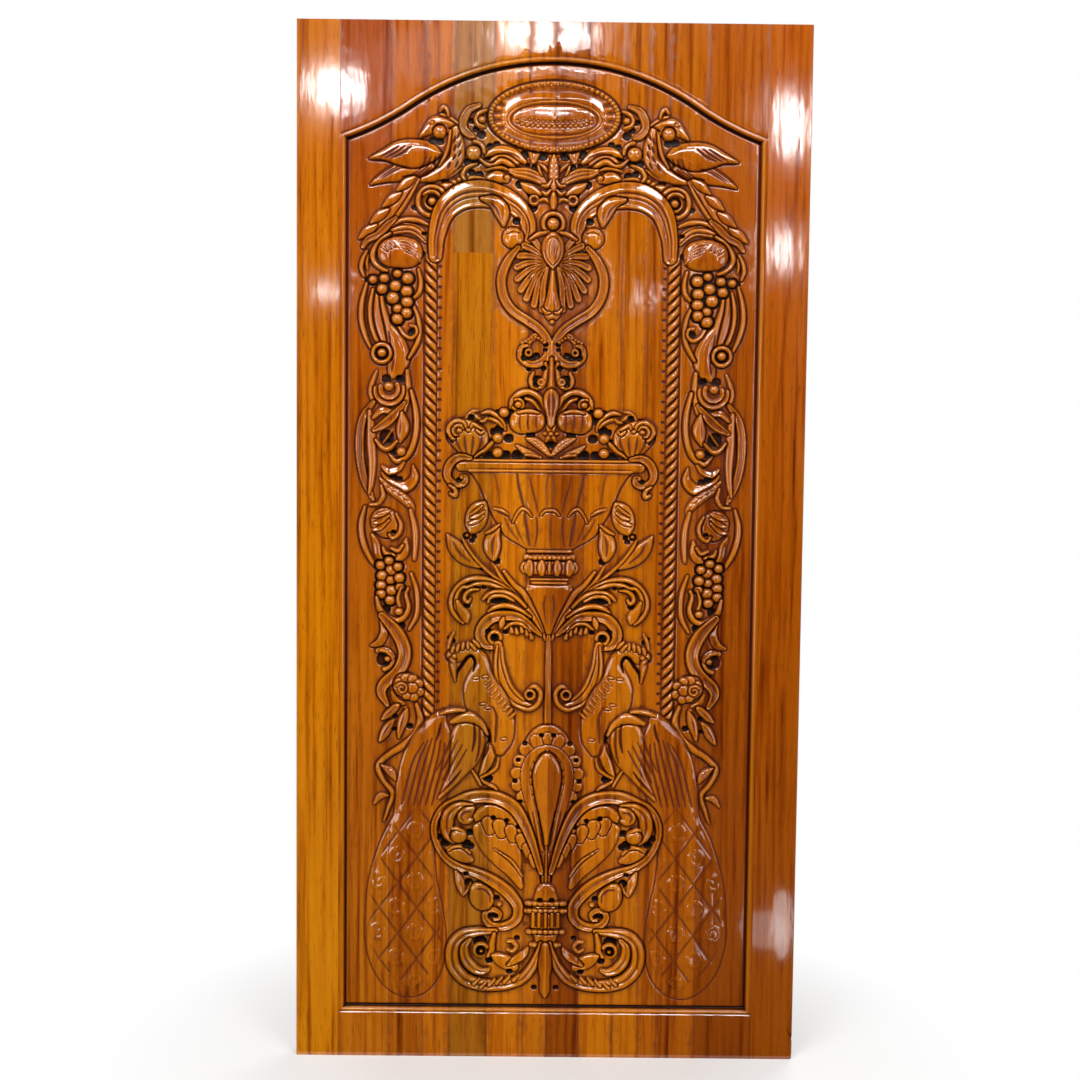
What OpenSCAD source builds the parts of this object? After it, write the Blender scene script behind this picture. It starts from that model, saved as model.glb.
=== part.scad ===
// Carved teak door leaf: upright boards glued edge to edge into one slab. An arched panel is sunk
// into the front, with a moulding round it, and holds a relief carving: an oval cartouche, parrots,
// fruiting vines beside rope columns, a fruit urn on branches, peacocks and scrolled acanthus.
// The front looks along -Y and up is +Z. The origin is under the middle of the slab.

/* [Leaf] */
// Width of the leaf
leaf_w = 1000; // [900:10:1200]
// Height of the leaf
leaf_h = 2050; // [1900:10:2300]
// Thickness of the leaf
leaf_t = 40; // [34:1:50]
// Chamfer on the long outer arrises
arris = 1.5; // [0.5:0.5:3]

/* [Panel] */
// Width of the plain stile at each side of the panel's moulding
stile_w = 84; // [60:2:110]
// Height of the plain margin under the panel's moulding
bottom_margin_h = 89; // [60:1:140]
// Height of the plain margin over the crown of the arch
top_margin_h = 64; // [40:1:120]
// Width of the moulding round the panel
moulding_w = 16; // [10:1:22]
// Drop of the arch from its crown to the panel's upper corners
arch_drop = 148; // [110:2:190]

/* [Carving] */
// Depth from the leaf's face down to the field that the carving stands on
relief_depth = 12; // [8:0.5:16]
// Depth of the quirk cut round the field, below the field
quirk_depth = 2; // [1:0.5:4]
// Distance from one strand of a rope column to the next
rope_pitch = 20; // [16:1:30]
// Width of a rope column
rope_w = 22; // [18:1:28]
// Depth that the carving is rooted below the field
root_depth = 2; // [1:0.5:3]

/* [Hidden] */

// Cuts run this far past the faces that they open
overrun = 1;

// Wood tones of the stiles and of the boards between them
stile_tone = "#b26a1f";
panel_tone = "#bb7226";

// The stiles' inner edges, which are glue lines
inner_half_w = leaf_w / 2 - stile_w;

// Sunk field: half width, foot and crown
field_half_w = inner_half_w - moulding_w;
field_foot_z = bottom_margin_h + moulding_w;
field_crown_z = leaf_h - top_margin_h - moulding_w;
field_h = field_crown_z - field_foot_z;
face_y = -leaf_t / 2;
field_y = face_y + relief_depth;

// The arch is an ogee of two arcs. They meet at these shares of the half width and of the drop.
ogee_turn_shares = [0.685, 0.568];
crown_arc_points = 5;
shoulder_arc_points = 3;
turn = [ogee_turn_shares[0] * field_half_w, ogee_turn_shares[1] * arch_drop];
crown_r = (turn[0] * turn[0] + turn[1] * turn[1]) / (2 * turn[1]);
crown_centre = [0, field_crown_z - crown_r];
turn_angle = 2 * atan2(turn[1], turn[0]);
turn_way = [sin(turn_angle), cos(turn_angle)];
corner_reach = [field_half_w, crown_r - arch_drop];
corner_along = corner_reach * turn_way;
shoulder_r = (corner_reach * corner_reach - 2 * crown_r * corner_along + crown_r * crown_r)
    / (2 * (corner_along - crown_r));
shoulder_centre = crown_centre + (crown_r + shoulder_r) * turn_way;

// Moulding section, from the leaf's face in to the field. Each pair is the distance out from the
// field's edge as a share of the moulding's width, and the depth as a share of the relief's depth.
moulding_shares = [[1, 0], [0.95, 0.2], [0.8, 0.12], [0.6, 0.16], [0.42, 0.45], [0.4, 1]];
quirk_share = 0.2;

// The carver's drawing is squared up with this many squares from the centre line to the field's
// side. Its rows count from the line of the field's foot to the line of the crown.
drawing_half_share = 400;
drawing_foot_share = 105;
drawing_crown_share = 1970;
square_w = field_half_w / drawing_half_share;
square_h = field_h / (drawing_crown_share - drawing_foot_share);

// Form of a stroke: flat crest of a broad one and of a mass, height of thin ends, and the half
// width in squares from which a stroke is broad
crest_share = 0.42;
mass_crest_share = 0.7;
thin_end_share = 0.35;
broad_share = 15;

// Strokes of the drawing for one half, mirrored for the other. Each is a rise, as a share of the
// relief's depth, and the squares [across from the centre line, row, half width] that it follows.
crest_shares = [
    [0.8, [[138, 1898, 4], [160, 1894, 5], [178, 1876, 6], [182, 1855, 6], [172, 1836, 5],
        [154, 1830, 4]]],
    [0.8, [[133, 1882, 6], [146, 1874, 6], [150, 1860, 6], [142, 1848, 6], [130, 1845, 4]]],
    [0.7, [[52, 1788, 4], [80, 1804, 9], [112, 1806, 9], [134, 1796, 4]]],
    [0.6, [[15, 1765, 4], [45, 1776, 9], [85, 1780, 8], [130, 1784, 3]]],
    [0.7, [[40, 1748, 4], [80, 1760, 10], [125, 1768, 10], [170, 1764, 4]]],
    [0.6, [[165, 1790, 3], [180, 1775, 8], [200, 1765, 8], [222, 1762, 3]]],
    [0.7, [[6, 1724, 4], [22, 1760, 9], [32, 1792, 3]]],
    [0.7, [[14, 1722, 4], [44, 1746, 9], [62, 1774, 3]]]
];
parrot_shares = [
    [0.75, [[196, 1862, 8], [192, 1835, 14], [200, 1805, 18], [222, 1778, 20], [255, 1762, 18],
        [300, 1756, 8]]],
    [0.95, [[232, 1862, 7], [250, 1850, 6], [262, 1834, 2]]],
    [0.6, [[190, 1862, 3], [206, 1872, 5], [214, 1888, 3]]],
    [0.9, [[222, 1802, 4], [245, 1812, 16], [285, 1810, 20], [325, 1800, 12], [358, 1789, 2]]],
    [0.6, [[225, 1780, 6], [262, 1780, 20], [300, 1768, 18], [330, 1752, 10], [345, 1738, 2]]],
    [0.7, [[262, 1742, 6], [285, 1712, 16], [312, 1680, 16], [340, 1648, 12], [366, 1618, 3]]]
];
vine_shares = [
    [0.8, [[238, 1668, 5], [262, 1670, 12], [290, 1655, 16], [320, 1630, 16], [345, 1600, 14],
        [352, 1575, 5]]],
    [0.6, [[352, 1630, 3], [368, 1605, 6], [372, 1578, 3]]],
    [0.6, [[350, 1550, 4], [368, 1515, 5], [372, 1480, 5], [366, 1450, 5], [352, 1424, 4]]],
    [0.8, [[335, 1525, 3], [330, 1490, 10], [318, 1455, 14], [308, 1420, 20], [306, 1390, 18],
        [312, 1368, 4]]],
    [0.6, [[268, 1540, 4], [262, 1500, 5], [262, 1460, 5], [268, 1420, 5], [280, 1385, 3]]],
    [0.8, [[348, 1372, 4], [356, 1345, 6], [345, 1322, 6], [320, 1312, 6], [296, 1322, 4]]],
    [0.6, [[283, 1372, 4], [281, 1340, 6], [288, 1310, 4]]],
    [0.6, [[350, 1310, 4], [372, 1280, 5], [382, 1240, 5], [380, 1195, 5], [368, 1155, 5],
        [352, 1128, 3]]],
    [0.6, [[275, 1310, 4], [266, 1265, 5], [270, 1225, 4]]],
    [0.8, [[345, 1300, 4], [320, 1290, 10], [300, 1300, 4]]],
    [0.9, [[350, 1262, 3], [325, 1272, 8], [300, 1286, 5]]],
    [0.9, [[293, 1292, 3], [290, 1265, 14], [290, 1238, 3]]],
    [0.8, [[312, 1222, 4], [298, 1206, 5], [278, 1210, 5], [268, 1232, 4]]],
    [0.9, [[330, 1180, 3], [315, 1160, 7], [290, 1150, 9], [272, 1165, 7], [270, 1190, 2]]],
    [0.8, [[325, 1150, 4], [300, 1138, 8], [280, 1120, 8], [272, 1098, 2]]],
    [0.6, [[368, 1115, 4], [375, 1080, 5], [370, 1040, 5], [355, 1010, 5], [340, 990, 3]]],
    [0.6, [[275, 1100, 4], [266, 1060, 5], [268, 1020, 4]]],
    [0.8, [[335, 930, 4], [335, 905, 5], [320, 885, 6], [296, 880, 6], [275, 892, 5], [268, 920, 5],
        [275, 950, 3]]],
    [0.8, [[330, 885, 5], [300, 860, 8], [288, 830, 10], [295, 800, 10], [320, 770, 9], [335, 745, 7],
        [325, 720, 3]]],
    [0.8, [[332, 717, 2], [315, 705, 8], [298, 698, 2]]],
    [0.8, [[340, 648, 2], [325, 665, 9], [316, 684, 2]]],
    [0.8, [[300, 648, 2], [292, 678, 10], [288, 706, 2]]],
    [0.6, [[255, 710, 5], [248, 680, 6], [262, 650, 7], [290, 630, 6], [320, 610, 5], [336, 588, 5]]],
    [0.5, [[336, 588, 5], [325, 560, 4], [308, 535, 4], [318, 505, 3], [325, 478, 2]]]
];
arch_band_shares = [
    [0.9, [[230, 1602, 11], [226, 1642, 13], [210, 1684, 15], [180, 1714, 16], [142, 1725, 16],
        [100, 1718, 17],
        [68, 1698, 16], [49, 1668, 15], [50, 1640, 12], [66, 1620, 8]]],
    [0.6, [[128, 1710, 3], [104, 1700, 6], [92, 1684, 9], [100, 1668, 4]]]
];
lyre_shares = [
    [0.8, [[66, 1618, 5], [86, 1592, 6], [96, 1556, 7], [93, 1522, 7], [76, 1494, 7], [48, 1474, 7],
        [22, 1456, 7],
        [7, 1432, 7], [8, 1408, 6], [26, 1393, 6], [48, 1393, 5], [62, 1406, 4], [60, 1424, 3]]],
    [0.7, [[12, 1392, 3], [10, 1374, 5], [18, 1352, 5], [34, 1345, 4], [40, 1362, 3]]],
    [0.6, [[10, 1588, 3], [36, 1596, 8], [62, 1592, 2]]],
    [0.6, [[10, 1582, 3], [36, 1572, 8], [60, 1558, 2]]],
    [0.6, [[8, 1578, 3], [32, 1552, 8], [54, 1530, 2]]],
    [0.6, [[5, 1574, 3], [22, 1538, 7], [36, 1506, 2]]]
];
fruit_shares = [
    [0.7, [[20, 1212, 2], [45, 1226, 9], [75, 1236, 10], [96, 1232, 3]]],
    [0.7, [[10, 1252, 3], [28, 1234, 9], [12, 1212, 4]]],
    [0.7, [[15, 1320, 4], [35, 1334, 6], [60, 1332, 7], [78, 1316, 6], [86, 1298, 3]]],
    [0.7, [[104, 1302, 3], [135, 1300, 8], [168, 1286, 3]]]
];
urn_shares = [
    [0.9, [[150, 1204, 5], [176, 1206, 6], [198, 1196, 7], [207, 1176, 7], [198, 1157, 6],
        [180, 1152, 5], [168, 1164, 4]]],
    [0.6, [[206, 1150, 3], [198, 1134, 6], [186, 1130, 3]]],
    [0.55, [[24, 1034, 3], [34, 1066, 3], [28, 1094, 3], [4, 1108, 3]]],
    [0.55, [[34, 1050, 3], [62, 1076, 3], [66, 1098, 4], [48, 1110, 3], [34, 1096, 3]]],
    [0.55, [[44, 1044, 3], [86, 1068, 3], [108, 1094, 4], [98, 1108, 3], [76, 1096, 3]]]
];
branch_shares = [
    [0.6, [[4, 850, 4], [25, 890, 5], [55, 930, 6], [90, 965, 6], [115, 1000, 5], [135, 1042, 4]]],
    [0.9, [[152, 1060, 6], [148, 1085, 23], [140, 1108, 17], [128, 1122, 4]]],
    [0.7, [[206, 1062, 2], [180, 1035, 14], [152, 1010, 11], [130, 990, 2]]],
    [0.7, [[110, 1082, 2], [112, 1052, 18], [108, 1022, 11], [105, 1003, 2]]],
    [0.8, [[88, 960, 6], [120, 968, 8], [155, 962, 9], [180, 940, 10], [190, 910, 11], [180, 890, 8],
        [166, 880, 3]]],
    [0.7, [[160, 955, 4], [172, 935, 6], [165, 918, 6], [152, 924, 3]]],
    [0.8, [[40, 915, 6], [75, 938, 8], [105, 945, 8], [130, 932, 6], [136, 916, 3]]],
    [0.9, [[20, 868, 4], [50, 900, 8], [90, 908, 8], [125, 892, 8], [141, 862, 8], [132, 838, 7],
        [112, 830, 6],
        [98, 844, 4]]],
    [0.7, [[96, 880, 3], [72, 888, 8], [44, 878, 8], [26, 858, 3]]],
    [0.7, [[98, 838, 5], [103, 810, 6], [100, 770, 6], [85, 735, 7], [60, 712, 7], [35, 708, 6],
        [18, 722, 5],
        [16, 742, 4], [30, 752, 3]]]
];
peacock_shares = [
    [0.7, [[185, 815, 10], [160, 827, 12], [141, 802, 16], [140, 762, 30], [126, 716, 44], [106, 676, 44],
        [96, 640, 34], [100, 608, 12]]],
    [0.9, [[150, 694, 8], [165, 670, 38], [185, 630, 44], [205, 590, 34], [217, 552, 6]]],
    [0.55, [[218, 702, 6], [225, 660, 34], [235, 600, 48], [250, 540, 44], [265, 480, 40], [277, 420, 50],
        [285, 350, 68], [284, 280, 80], [281, 220, 77], [278, 170, 54], [276, 138, 8]]]
];
peacock_limb_shares = [
    [0.7, [[194, 804, 7], [197, 788, 5], [190, 764, 2]]],
    [0.6, [[180, 838, 2], [190, 850, 4], [202, 864, 2]]],
    [0.6, [[100, 614, 4], [116, 584, 5], [142, 560, 3]]],
    [0.6, [[116, 584, 4], [140, 590, 5], [166, 580, 2]]]
];
lower_scroll_shares = [
    [0.9, [[8, 380, 5], [25, 430, 6], [45, 480, 8], [70, 515, 9], [105, 535, 9], [150, 540, 10],
        [190, 525, 11],
        [218, 490, 12], [222, 456, 10], [206, 434, 8]]],
    [0.8, [[150, 500, 8], [175, 507, 11], [195, 492, 12], [206, 468, 11], [195, 445, 10], [175, 438, 6]]],
    [0.8, [[228, 440, 6], [215, 415, 8], [190, 395, 9], [160, 380, 10], [125, 370, 10], [90, 350, 10],
        [62, 325, 9],
        [50, 300, 9], [58, 278, 8], [80, 267, 8], [106, 272, 7], [118, 290, 5]]],
    [0.6, [[170, 374, 4], [160, 350, 10], [172, 332, 3]]],
    [0.5, [[130, 490, 4], [110, 470, 20], [90, 430, 28], [70, 390, 20], [50, 350, 6]]],
    [0.9, [[100, 262, 6], [140, 268, 10], [175, 250, 11], [192, 215, 12], [185, 175, 12], [160, 150, 11],
        [125, 140, 11], [85, 142, 10], [50, 155, 9], [25, 180, 8], [12, 215, 6], [8, 242, 4]]],
    [0.8, [[120, 250, 6], [106, 226, 10], [114, 202, 9], [138, 194, 5]]],
    [0.6, [[100, 205, 4], [80, 200, 12], [60, 190, 12], [38, 180, 3]]]
];

// Strokes that lie on the centre line, drawn once
centre_shares = [
    [0.85, [[0, 1722, 6], [0, 1760, 10], [0, 1802, 3]]],
    [0.75, [[0, 1646, 4], [0, 1612, 20], [0, 1584, 6]]],
    [0.6, [[0, 1572, 4], [0, 1530, 8], [0, 1478, 3]]],
    [0.8, [[0, 1404, 4], [0, 1370, 7], [0, 1345, 7], [0, 1322, 3]]],
    [0.45, [[0, 1026, 44], [0, 1060, 64], [0, 1100, 94], [0, 1140, 126], [0, 1174, 150]]],
    [0.6, [[0, 960, 50], [0, 925, 34], [0, 885, 16], [0, 846, 4]]],
    [0.6, [[0, 846, 5], [0, 760, 5], [0, 664, 6]]],
    [0.55, [[0, 668, 10], [0, 640, 46], [0, 600, 60], [0, 560, 63], [0, 520, 58], [0, 470, 44],
        [0, 420, 24],
        [0, 370, 12], [0, 330, 8]]],
    [0.75, [[0, 618, 6], [0, 576, 28], [0, 520, 20], [0, 470, 10], [0, 400, 4]]],
    [0.7, [[0, 338, 26], [0, 300, 40], [0, 255, 40], [0, 220, 28]]],
    [0.7, [[0, 225, 8], [0, 190, 14], [0, 160, 10], [0, 135, 10], [0, 120, 2]]]
];
// Rails across the centre line: [rise, row, half width, half length]
rail_shares = [[0.7, 1200, 6, 178], [0.6, 1180, 4, 172], [0.8, 1022, 7, 46], [0.7, 966, 4, 45],
    [0.95, 320, 7, 36], [0.95, 256, 7, 42], [0.95, 228, 5, 34]];
// Domes for one half: [rise, across, row, radius]
dome_shares = [
    [0.9, 157, 1802, 16], [0.95, 222, 1850, 20], [0.8, 238, 1710, 18], [0.95, 280, 1600, 24],
        [0.9, 340, 1412, 14],
    [0.8, 275, 1452, 9], [0.7, 320, 1342, 20], [0.9, 320, 1085, 25], [0.8, 300, 902, 12],
        [0.8, 322, 806, 15],
    [0.9, 283, 750, 27], [0.95, 78, 1637, 19], [0.95, 162, 1250, 42], [0.9, 52, 1282, 36],
        [0.8, 100, 1250, 11],
    [0.8, 100, 1218, 10], [0.8, 92, 1300, 10], [0.8, 48, 1414, 8], [0.95, 110, 852, 9], [0.9, 36, 738, 9],
    [0.9, 184, 812, 17], [0.9, 180, 458, 14], [0.8, 136, 332, 24], [0.9, 104, 292, 8], [0.9, 132, 216, 10]
];
centre_dome_shares = [[0.95, 0, 1665, 16], [0.9, 0, 1270, 14]];
// Grapes of the two bunches: [across, row], all of one radius and rise
grape_shares = [
    [345, 1550], [330, 1538], [314, 1552], [296, 1558], [279, 1554], [308, 1534], [288, 1532],
        [320, 1518],
    [301, 1513], [283, 1510], [306, 1494], [288, 1489], [312, 1476], [296, 1472],
    [334, 992], [316, 986], [300, 994], [336, 972], [318, 968], [300, 976], [335, 953], [316, 949],
        [299, 957],
    [334, 935], [316, 930], [322, 1012], [306, 1014]
];
grape_r_share = 9.5;
grape_rise_share = 0.9;
dome_sides = 6;
large_dome_sides = 8;
large_dome_share = 26;
pointed_dome_share = 13;
dome_top_share = 0.5;

// Rope columns: place across, lowest and highest row, and the rises of the hollows and of the strands
rope_across_share = 232;
rope_row_shares = [690, 1600];
rope_hollow_rise_share = 0.3;
rope_strand_rise_share = 0.8;

// Oval cartouche: row of its centre, then the half sizes of its beaded rim and of its inner oval
oval_row_share = 1873;
oval_rim_shares = [121, 63];
oval_inner_shares = [94, 38];
oval_rise_share = 0.9;
oval_inner_half_share = 5;
oval_steps = 14;
oval_beads = 26;
bead_half_shares = [7, 4];
flute_shares = [0.25, 0.55];
flute_half_share = 5;

// Gadroons of the urn's knop: row, half length, place of the outermost, half width and rise
gadroon_row_share = 992;
gadroon_length_share = 15;
gadroon_reach_share = 48;
gadroon_half_share = 9;
gadroon_rise_share = 0.95;
gadroons = 5;

// Eyes on a peacock's train: lowest and highest row, half width and height of one, the rises of
// its foot and its point, their places across by turns, and the train's half width at a few rows
eye_row_shares = [186, 466];
eye_size_shares = [14, 20];
eye_rise_shares = [0.2, 0.85];
eye_reach_share = 0.62;
eye_place_shares = [[-0.5, 0.5], [-1, 0, 1]];
eye_rows = 5;
train_axis_share = 281;
train_half_shares = [[140, 20], [180, 58], [220, 74], [280, 78], [350, 66], [420, 48], [480, 38]];

// Chipped lower corner of the right stile: how far the chips run up and across, and their depth
chip_h = 46;
chip_w = 16;
chip_depth = 5;
chip_tilts = [18, -24];

// Drawing squares to the leaf's own sizes
function across(x) = x * square_w;
function row_z(row) = field_foot_z + (row - drawing_foot_share) * square_h;
function raised(rise) = field_y - rise * relief_depth;

// Section of a stroke at one of its points: two feet below the field, a waist on the field, and
// over it a ridge or, on a broad stroke, a flat crest. A closed path runs on from its last point.
function section(path, i, rise, side, flat = crest_share, closed = false) =
    let (
        count = len(path),
        widest = max([for (p = path) p[2]]),
        crest = widest < broad_share ? [0] : [-flat, flat],
        p = path[i],
        before = closed ? path[(i + count - 1) % count] : path[max(i - 1, 0)],
        after = closed ? path[(i + 1) % count] : path[min(i + 1, count - 1)],
        run = [(after[0] - before[0]) * square_w, (after[1] - before[1]) * square_h],
        left = [-run[1], run[0]] / norm(run),
        here = [across(p[0]), row_z(p[1])],
        foot_y = field_y + root_depth,
        top_y = raised(rise * (thin_end_share + (1 - thin_end_share) * p[2] / widest))
    )
    [for (at = concat([[-1, foot_y], [-1, field_y]], [for (c = crest) [c, top_y]],
            [[1, field_y], [1, foot_y]]))
        let (spot = here + at[0] * across(p[2]) * left) [side * spot[0], at[1], spot[1]]];

// Solid around a list of points
module lump(points) {
    hull()
        polyhedron(points, [[for (i = [0 : len(points) - 1]) i]]);
}

// Faces of a mirrored solid, turned to look outwards again
function turned(faces, side) = side > 0 ? faces : [for (f = faces) [for (i = [len(f) - 1 : -1 : 0]) f[i]]];

// A stroke, swept along its points
module stroke(rise, points, side, closed = false) {
    rings = [for (i = [0 : len(points) - 1]) section(points, i, rise, side, crest_share, closed)];
    all_points = [for (r = rings) each r];
    n = len(rings[0]);
    count = len(all_points);
    walls = [for (r = [0 : len(rings) - (closed ? 1 : 2)], i = [0 : n - 1])
        let (a = r * n + i, b = r * n + (i + 1) % n, c = (a + n) % count, d = (b + n) % count)
            each [[a, b, d], [a, d, c]]];
    e = count - n;
    ends = closed ? [] : [[n - 1, n - 2, 1, 0], [for (i = [n - 2 : -1 : 1]) i],
        [e, e + 1, count - 2, count - 1], [for (i = [e + 1 : count - 2]) i]];
    polyhedron(all_points, turned(concat(walls, ends), side));
}

// A broad mass, such as a bird's body, as one lump between each two of its sections
module mass(rise, points, side) {
    rings = [for (i = [0 : len(points) - 1]) section(points, i, rise, side, mass_crest_share)];
    for (i = [0 : len(rings) - 2])
        lump(concat(rings[i], rings[i + 1]));
}

module strokes(table, sides = [-1, 1]) {
    for (s = table, side = sides)
        stroke(s[0], s[1], side);
}

// Dome with flat facets, for fruit, eyes and flower hearts. A small one comes to a point.
module dome(rise, x, row, r, side) {
    small = r < pointed_dome_share;
    sides = r < large_dome_share ? dome_sides : large_dome_sides;
    foot = [for (y = [field_y + root_depth, field_y], k = [0 : sides - 1])
        [side * across(x + r * cos(k * 360 / sides)), y, row_z(row) + across(r * sin(k * 360 / sides))]];
    top = [for (k = [0 : 2 : sides - 1], reach = [small ? 0 : dome_top_share * r])
        [side * across(x + reach * cos((k + 0.5) * 360 / sides)), raised(rise),
            row_z(row) + across(reach * sin((k + 0.5) * 360 / sides))]];
    lump(concat(foot, top));
}

// Rope column: slanted lines, by turns hollow and strand, joined into one face over two flat sides
module rope_column(side) {
    half = rope_w / 2;
    x = across(rope_across_share);
    low = row_z(rope_row_shares[0]);
    high = row_z(rope_row_shares[1]);
    turns = floor((high - low) / rope_pitch);
    lines = 2 * turns + 1;
    foot_y = field_y + root_depth;
    inner = [for (k = [0 : lines - 1])
        let (rise = k % 2 == 0 ? rope_hollow_rise_share : rope_strand_rise_share)
            [side * (x - half), raised(rise), low + (k - 1) * rope_pitch / 2]];
    outer = [for (p = inner) [p[0] + side * rope_w, p[1], p[2] + rope_pitch]];
    corners = [inner[0], inner[lines - 1], outer[lines - 1], outer[0]];
    feet = [for (y = [field_y, foot_y], p = corners) [p[0], y, p[2]]];
    points = concat(inner, outer, feet);
    w = 2 * lines;
    f = w + len(corners);
    front = [for (k = [0 : lines - 2]) each [[k, k + 1, lines + k + 1], [k, lines + k + 1, lines + k]]];
    sides = [
        concat([for (k = [lines - 1 : -1 : 0]) k], [w, w + 1]),
        concat([for (k = [0 : lines - 1]) lines + k], [w + 2, w + 3]),
        [0, lines, w + 3, w], [w - 1, lines - 1, w + 1, w + 2],
        [w + 1, w, f, f + 1], [w + 2, w + 1, f + 1, f + 2],
        [w + 3, w + 2, f + 2, f + 3], [w, w + 3, f + 3, f],
        [f, f + 3, f + 2, f + 1]
    ];
    polyhedron(points, turned(concat(front, sides), side));
}

function oval_point(size, angle) = [size[0] * cos(angle), oval_row_share + size[1] * sin(angle)];

// Cartouche: rim of beads, flutes that slope in from it, and the inner oval
module cartouche() {
    rim = [for (k = [0 : 2 * oval_beads - 1])
        concat(oval_point(oval_rim_shares, k * 180 / oval_beads), [bead_half_shares[k % 2]])];
    stroke(1, rim, 1, true);
    inner = [for (k = [0 : oval_steps - 1])
        concat(oval_point(oval_inner_shares, k * 360 / oval_steps), [oval_inner_half_share])];
    stroke(oval_rise_share, inner, 1, true);
    for (k = [0 : oval_steps - 1])
        stroke(oval_rise_share, [for (reach = flute_shares)
            concat(oval_point(oval_inner_shares + reach * (oval_rim_shares - oval_inner_shares),
                (k + 0.5) * 360 / oval_steps), [flute_half_share])], 1);
}

module urn_knop() {
    for (k = [0 : gadroons - 1]) {
        x = gadroon_reach_share * (2 * k / (gadroons - 1) - 1);
        stroke(gadroon_rise_share, [for (end = [-1, 1])
            [x, gadroon_row_share + end * gadroon_length_share, gadroon_half_share]], 1);
    }
}

// Eyes of a train, as pointed lozenges: two or three to a row, each row set between the last
module train_eyes(side) {
    for (k = [0 : eye_rows - 1]) {
        row = eye_row_shares[0] + k * (eye_row_shares[1] - eye_row_shares[0]) / (eye_rows - 1);
        reach = eye_reach_share * lookup(row, train_half_shares);
        for (place = eye_place_shares[k % 2]) {
            x = train_axis_share + place * reach;
            foot = [for (d = [[1, 0], [0, 1], [-1, 0], [0, -1]])
                [side * across(x + d[0] * eye_size_shares[0]), raised(eye_rise_shares[0]),
                    row_z(row + d[1] * eye_size_shares[1])]];
            lump(concat(foot, [[side * across(x), raised(eye_rise_shares[1]), row_z(row)]]));
        }
    }
}

module rails() {
    for (r = rail_shares)
        stroke(r[0], [[-r[3], r[1], r[2]], [r[3], r[1], r[2]]], 1);
}

module carving() {
    for (table = [crest_shares, parrot_shares, vine_shares, arch_band_shares, lyre_shares, fruit_shares,
        urn_shares, branch_shares, peacock_limb_shares, lower_scroll_shares])
        strokes(table);
    strokes(centre_shares, [1]);
    rails();
    cartouche();
    urn_knop();
    for (d = centre_dome_shares)
        dome(d[0], d[1], d[2], d[3], 1);
    for (side = [-1, 1]) {
        rope_column(side);
        train_eyes(side);
        for (m = peacock_shares)
            mass(m[0], m[1], side);
        for (d = dome_shares)
            dome(d[0], d[1], d[2], d[3], side);
        for (g = grape_shares)
            dome(grape_rise_share, g[0], g[1], grape_r_share, side);
    }
}

// Outline of the field, let out by a distance. The arcs keep their centres, so it stays parallel.
function crown_arc(out) = [for (k = [0 : crown_arc_points - 1])
    let (a = turn_angle * k / crown_arc_points) crown_centre + (crown_r + out) * [sin(a), cos(a)]];
function shoulder_arc(out) =
    let (
        r = shoulder_r - out,
        side_x = field_half_w + out,
        last = asin((shoulder_centre[0] - side_x) / r)
    )
    [for (k = [0 : shoulder_arc_points])
        let (a = turn_angle + (last - turn_angle) * k / shoulder_arc_points)
            shoulder_centre - r * [sin(a), cos(a)]];
function right_half(out) = concat(crown_arc(out), shoulder_arc(out),
    [[field_half_w + out, field_foot_z - out]]);
function outline(out) = let (right = right_half(out), last = len(right) - 1)
    concat(right, [for (i = [last : -1 : 1]) [-right[i][0], right[i][1]]]);

// Sunk panel as a stack of outlines, from in front of the face down to the field
module panel_recess() {
    levels = concat([[moulding_shares[0][0] * moulding_w, face_y - overrun]],
        [for (m = moulding_shares) [m[0] * moulding_w, face_y + m[1] * relief_depth]],
        [[quirk_share * moulding_w, field_y + quirk_depth], [0, field_y]]);
    loops = [for (l = levels) [for (p = outline(l[0])) [p[0], l[1], p[1]]]];
    count = len(loops[0]);
    walls = [for (l = [0 : len(loops) - 2], i = [0 : count - 1])
        let (a = l * count + i, b = l * count + (i + 1) % count)
            each [[a, b + count, b], [a, a + count, b + count]]];
    caps = [[for (i = [0 : count - 1]) i], [for (i = [count - 1 : -1 : 0]) (len(loops) - 1) * count + i]];
    polyhedron([for (loop = loops) each loop], concat(walls, caps));
}

// The boards between the stiles, glued into one slab, sunk and carved together
module carved_panel() {
    color(panel_tone)
        union() {
            difference() {
                translate([-inner_half_w, face_y, 0])
                    cube([2 * inner_half_w, leaf_t, leaf_h]);
                panel_recess();
            }
            carving();
        }
}

// Plain outer board, with both long outer arrises taken off
module stile_blank() {
    linear_extrude(leaf_h)
        polygon([
            [inner_half_w, face_y],
            [leaf_w / 2 - arris, face_y],
            [leaf_w / 2, face_y + arris],
            [leaf_w / 2, -face_y - arris],
            [leaf_w / 2 - arris, -face_y],
            [inner_half_w, -face_y]
        ]);
}

module left_stile() {
    color(stile_tone)
        mirror([1, 0, 0])
            stile_blank();
}

// The right stile's lower corner has lost two chips from its front arris
module right_stile() {
    color(stile_tone)
        difference() {
            stile_blank();
            for (k = [0 : len(chip_tilts) - 1])
                translate([leaf_w / 2, face_y, k * chip_h])
                    rotate([0, chip_tilts[k], 45])
                        cube([chip_depth, chip_w, chip_h], center = true);
        }
}

left_stile();
carved_panel();
right_stile();
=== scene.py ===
import math

import bmesh
import bpy
import numpy as np
from mathutils import Matrix, Vector


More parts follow.
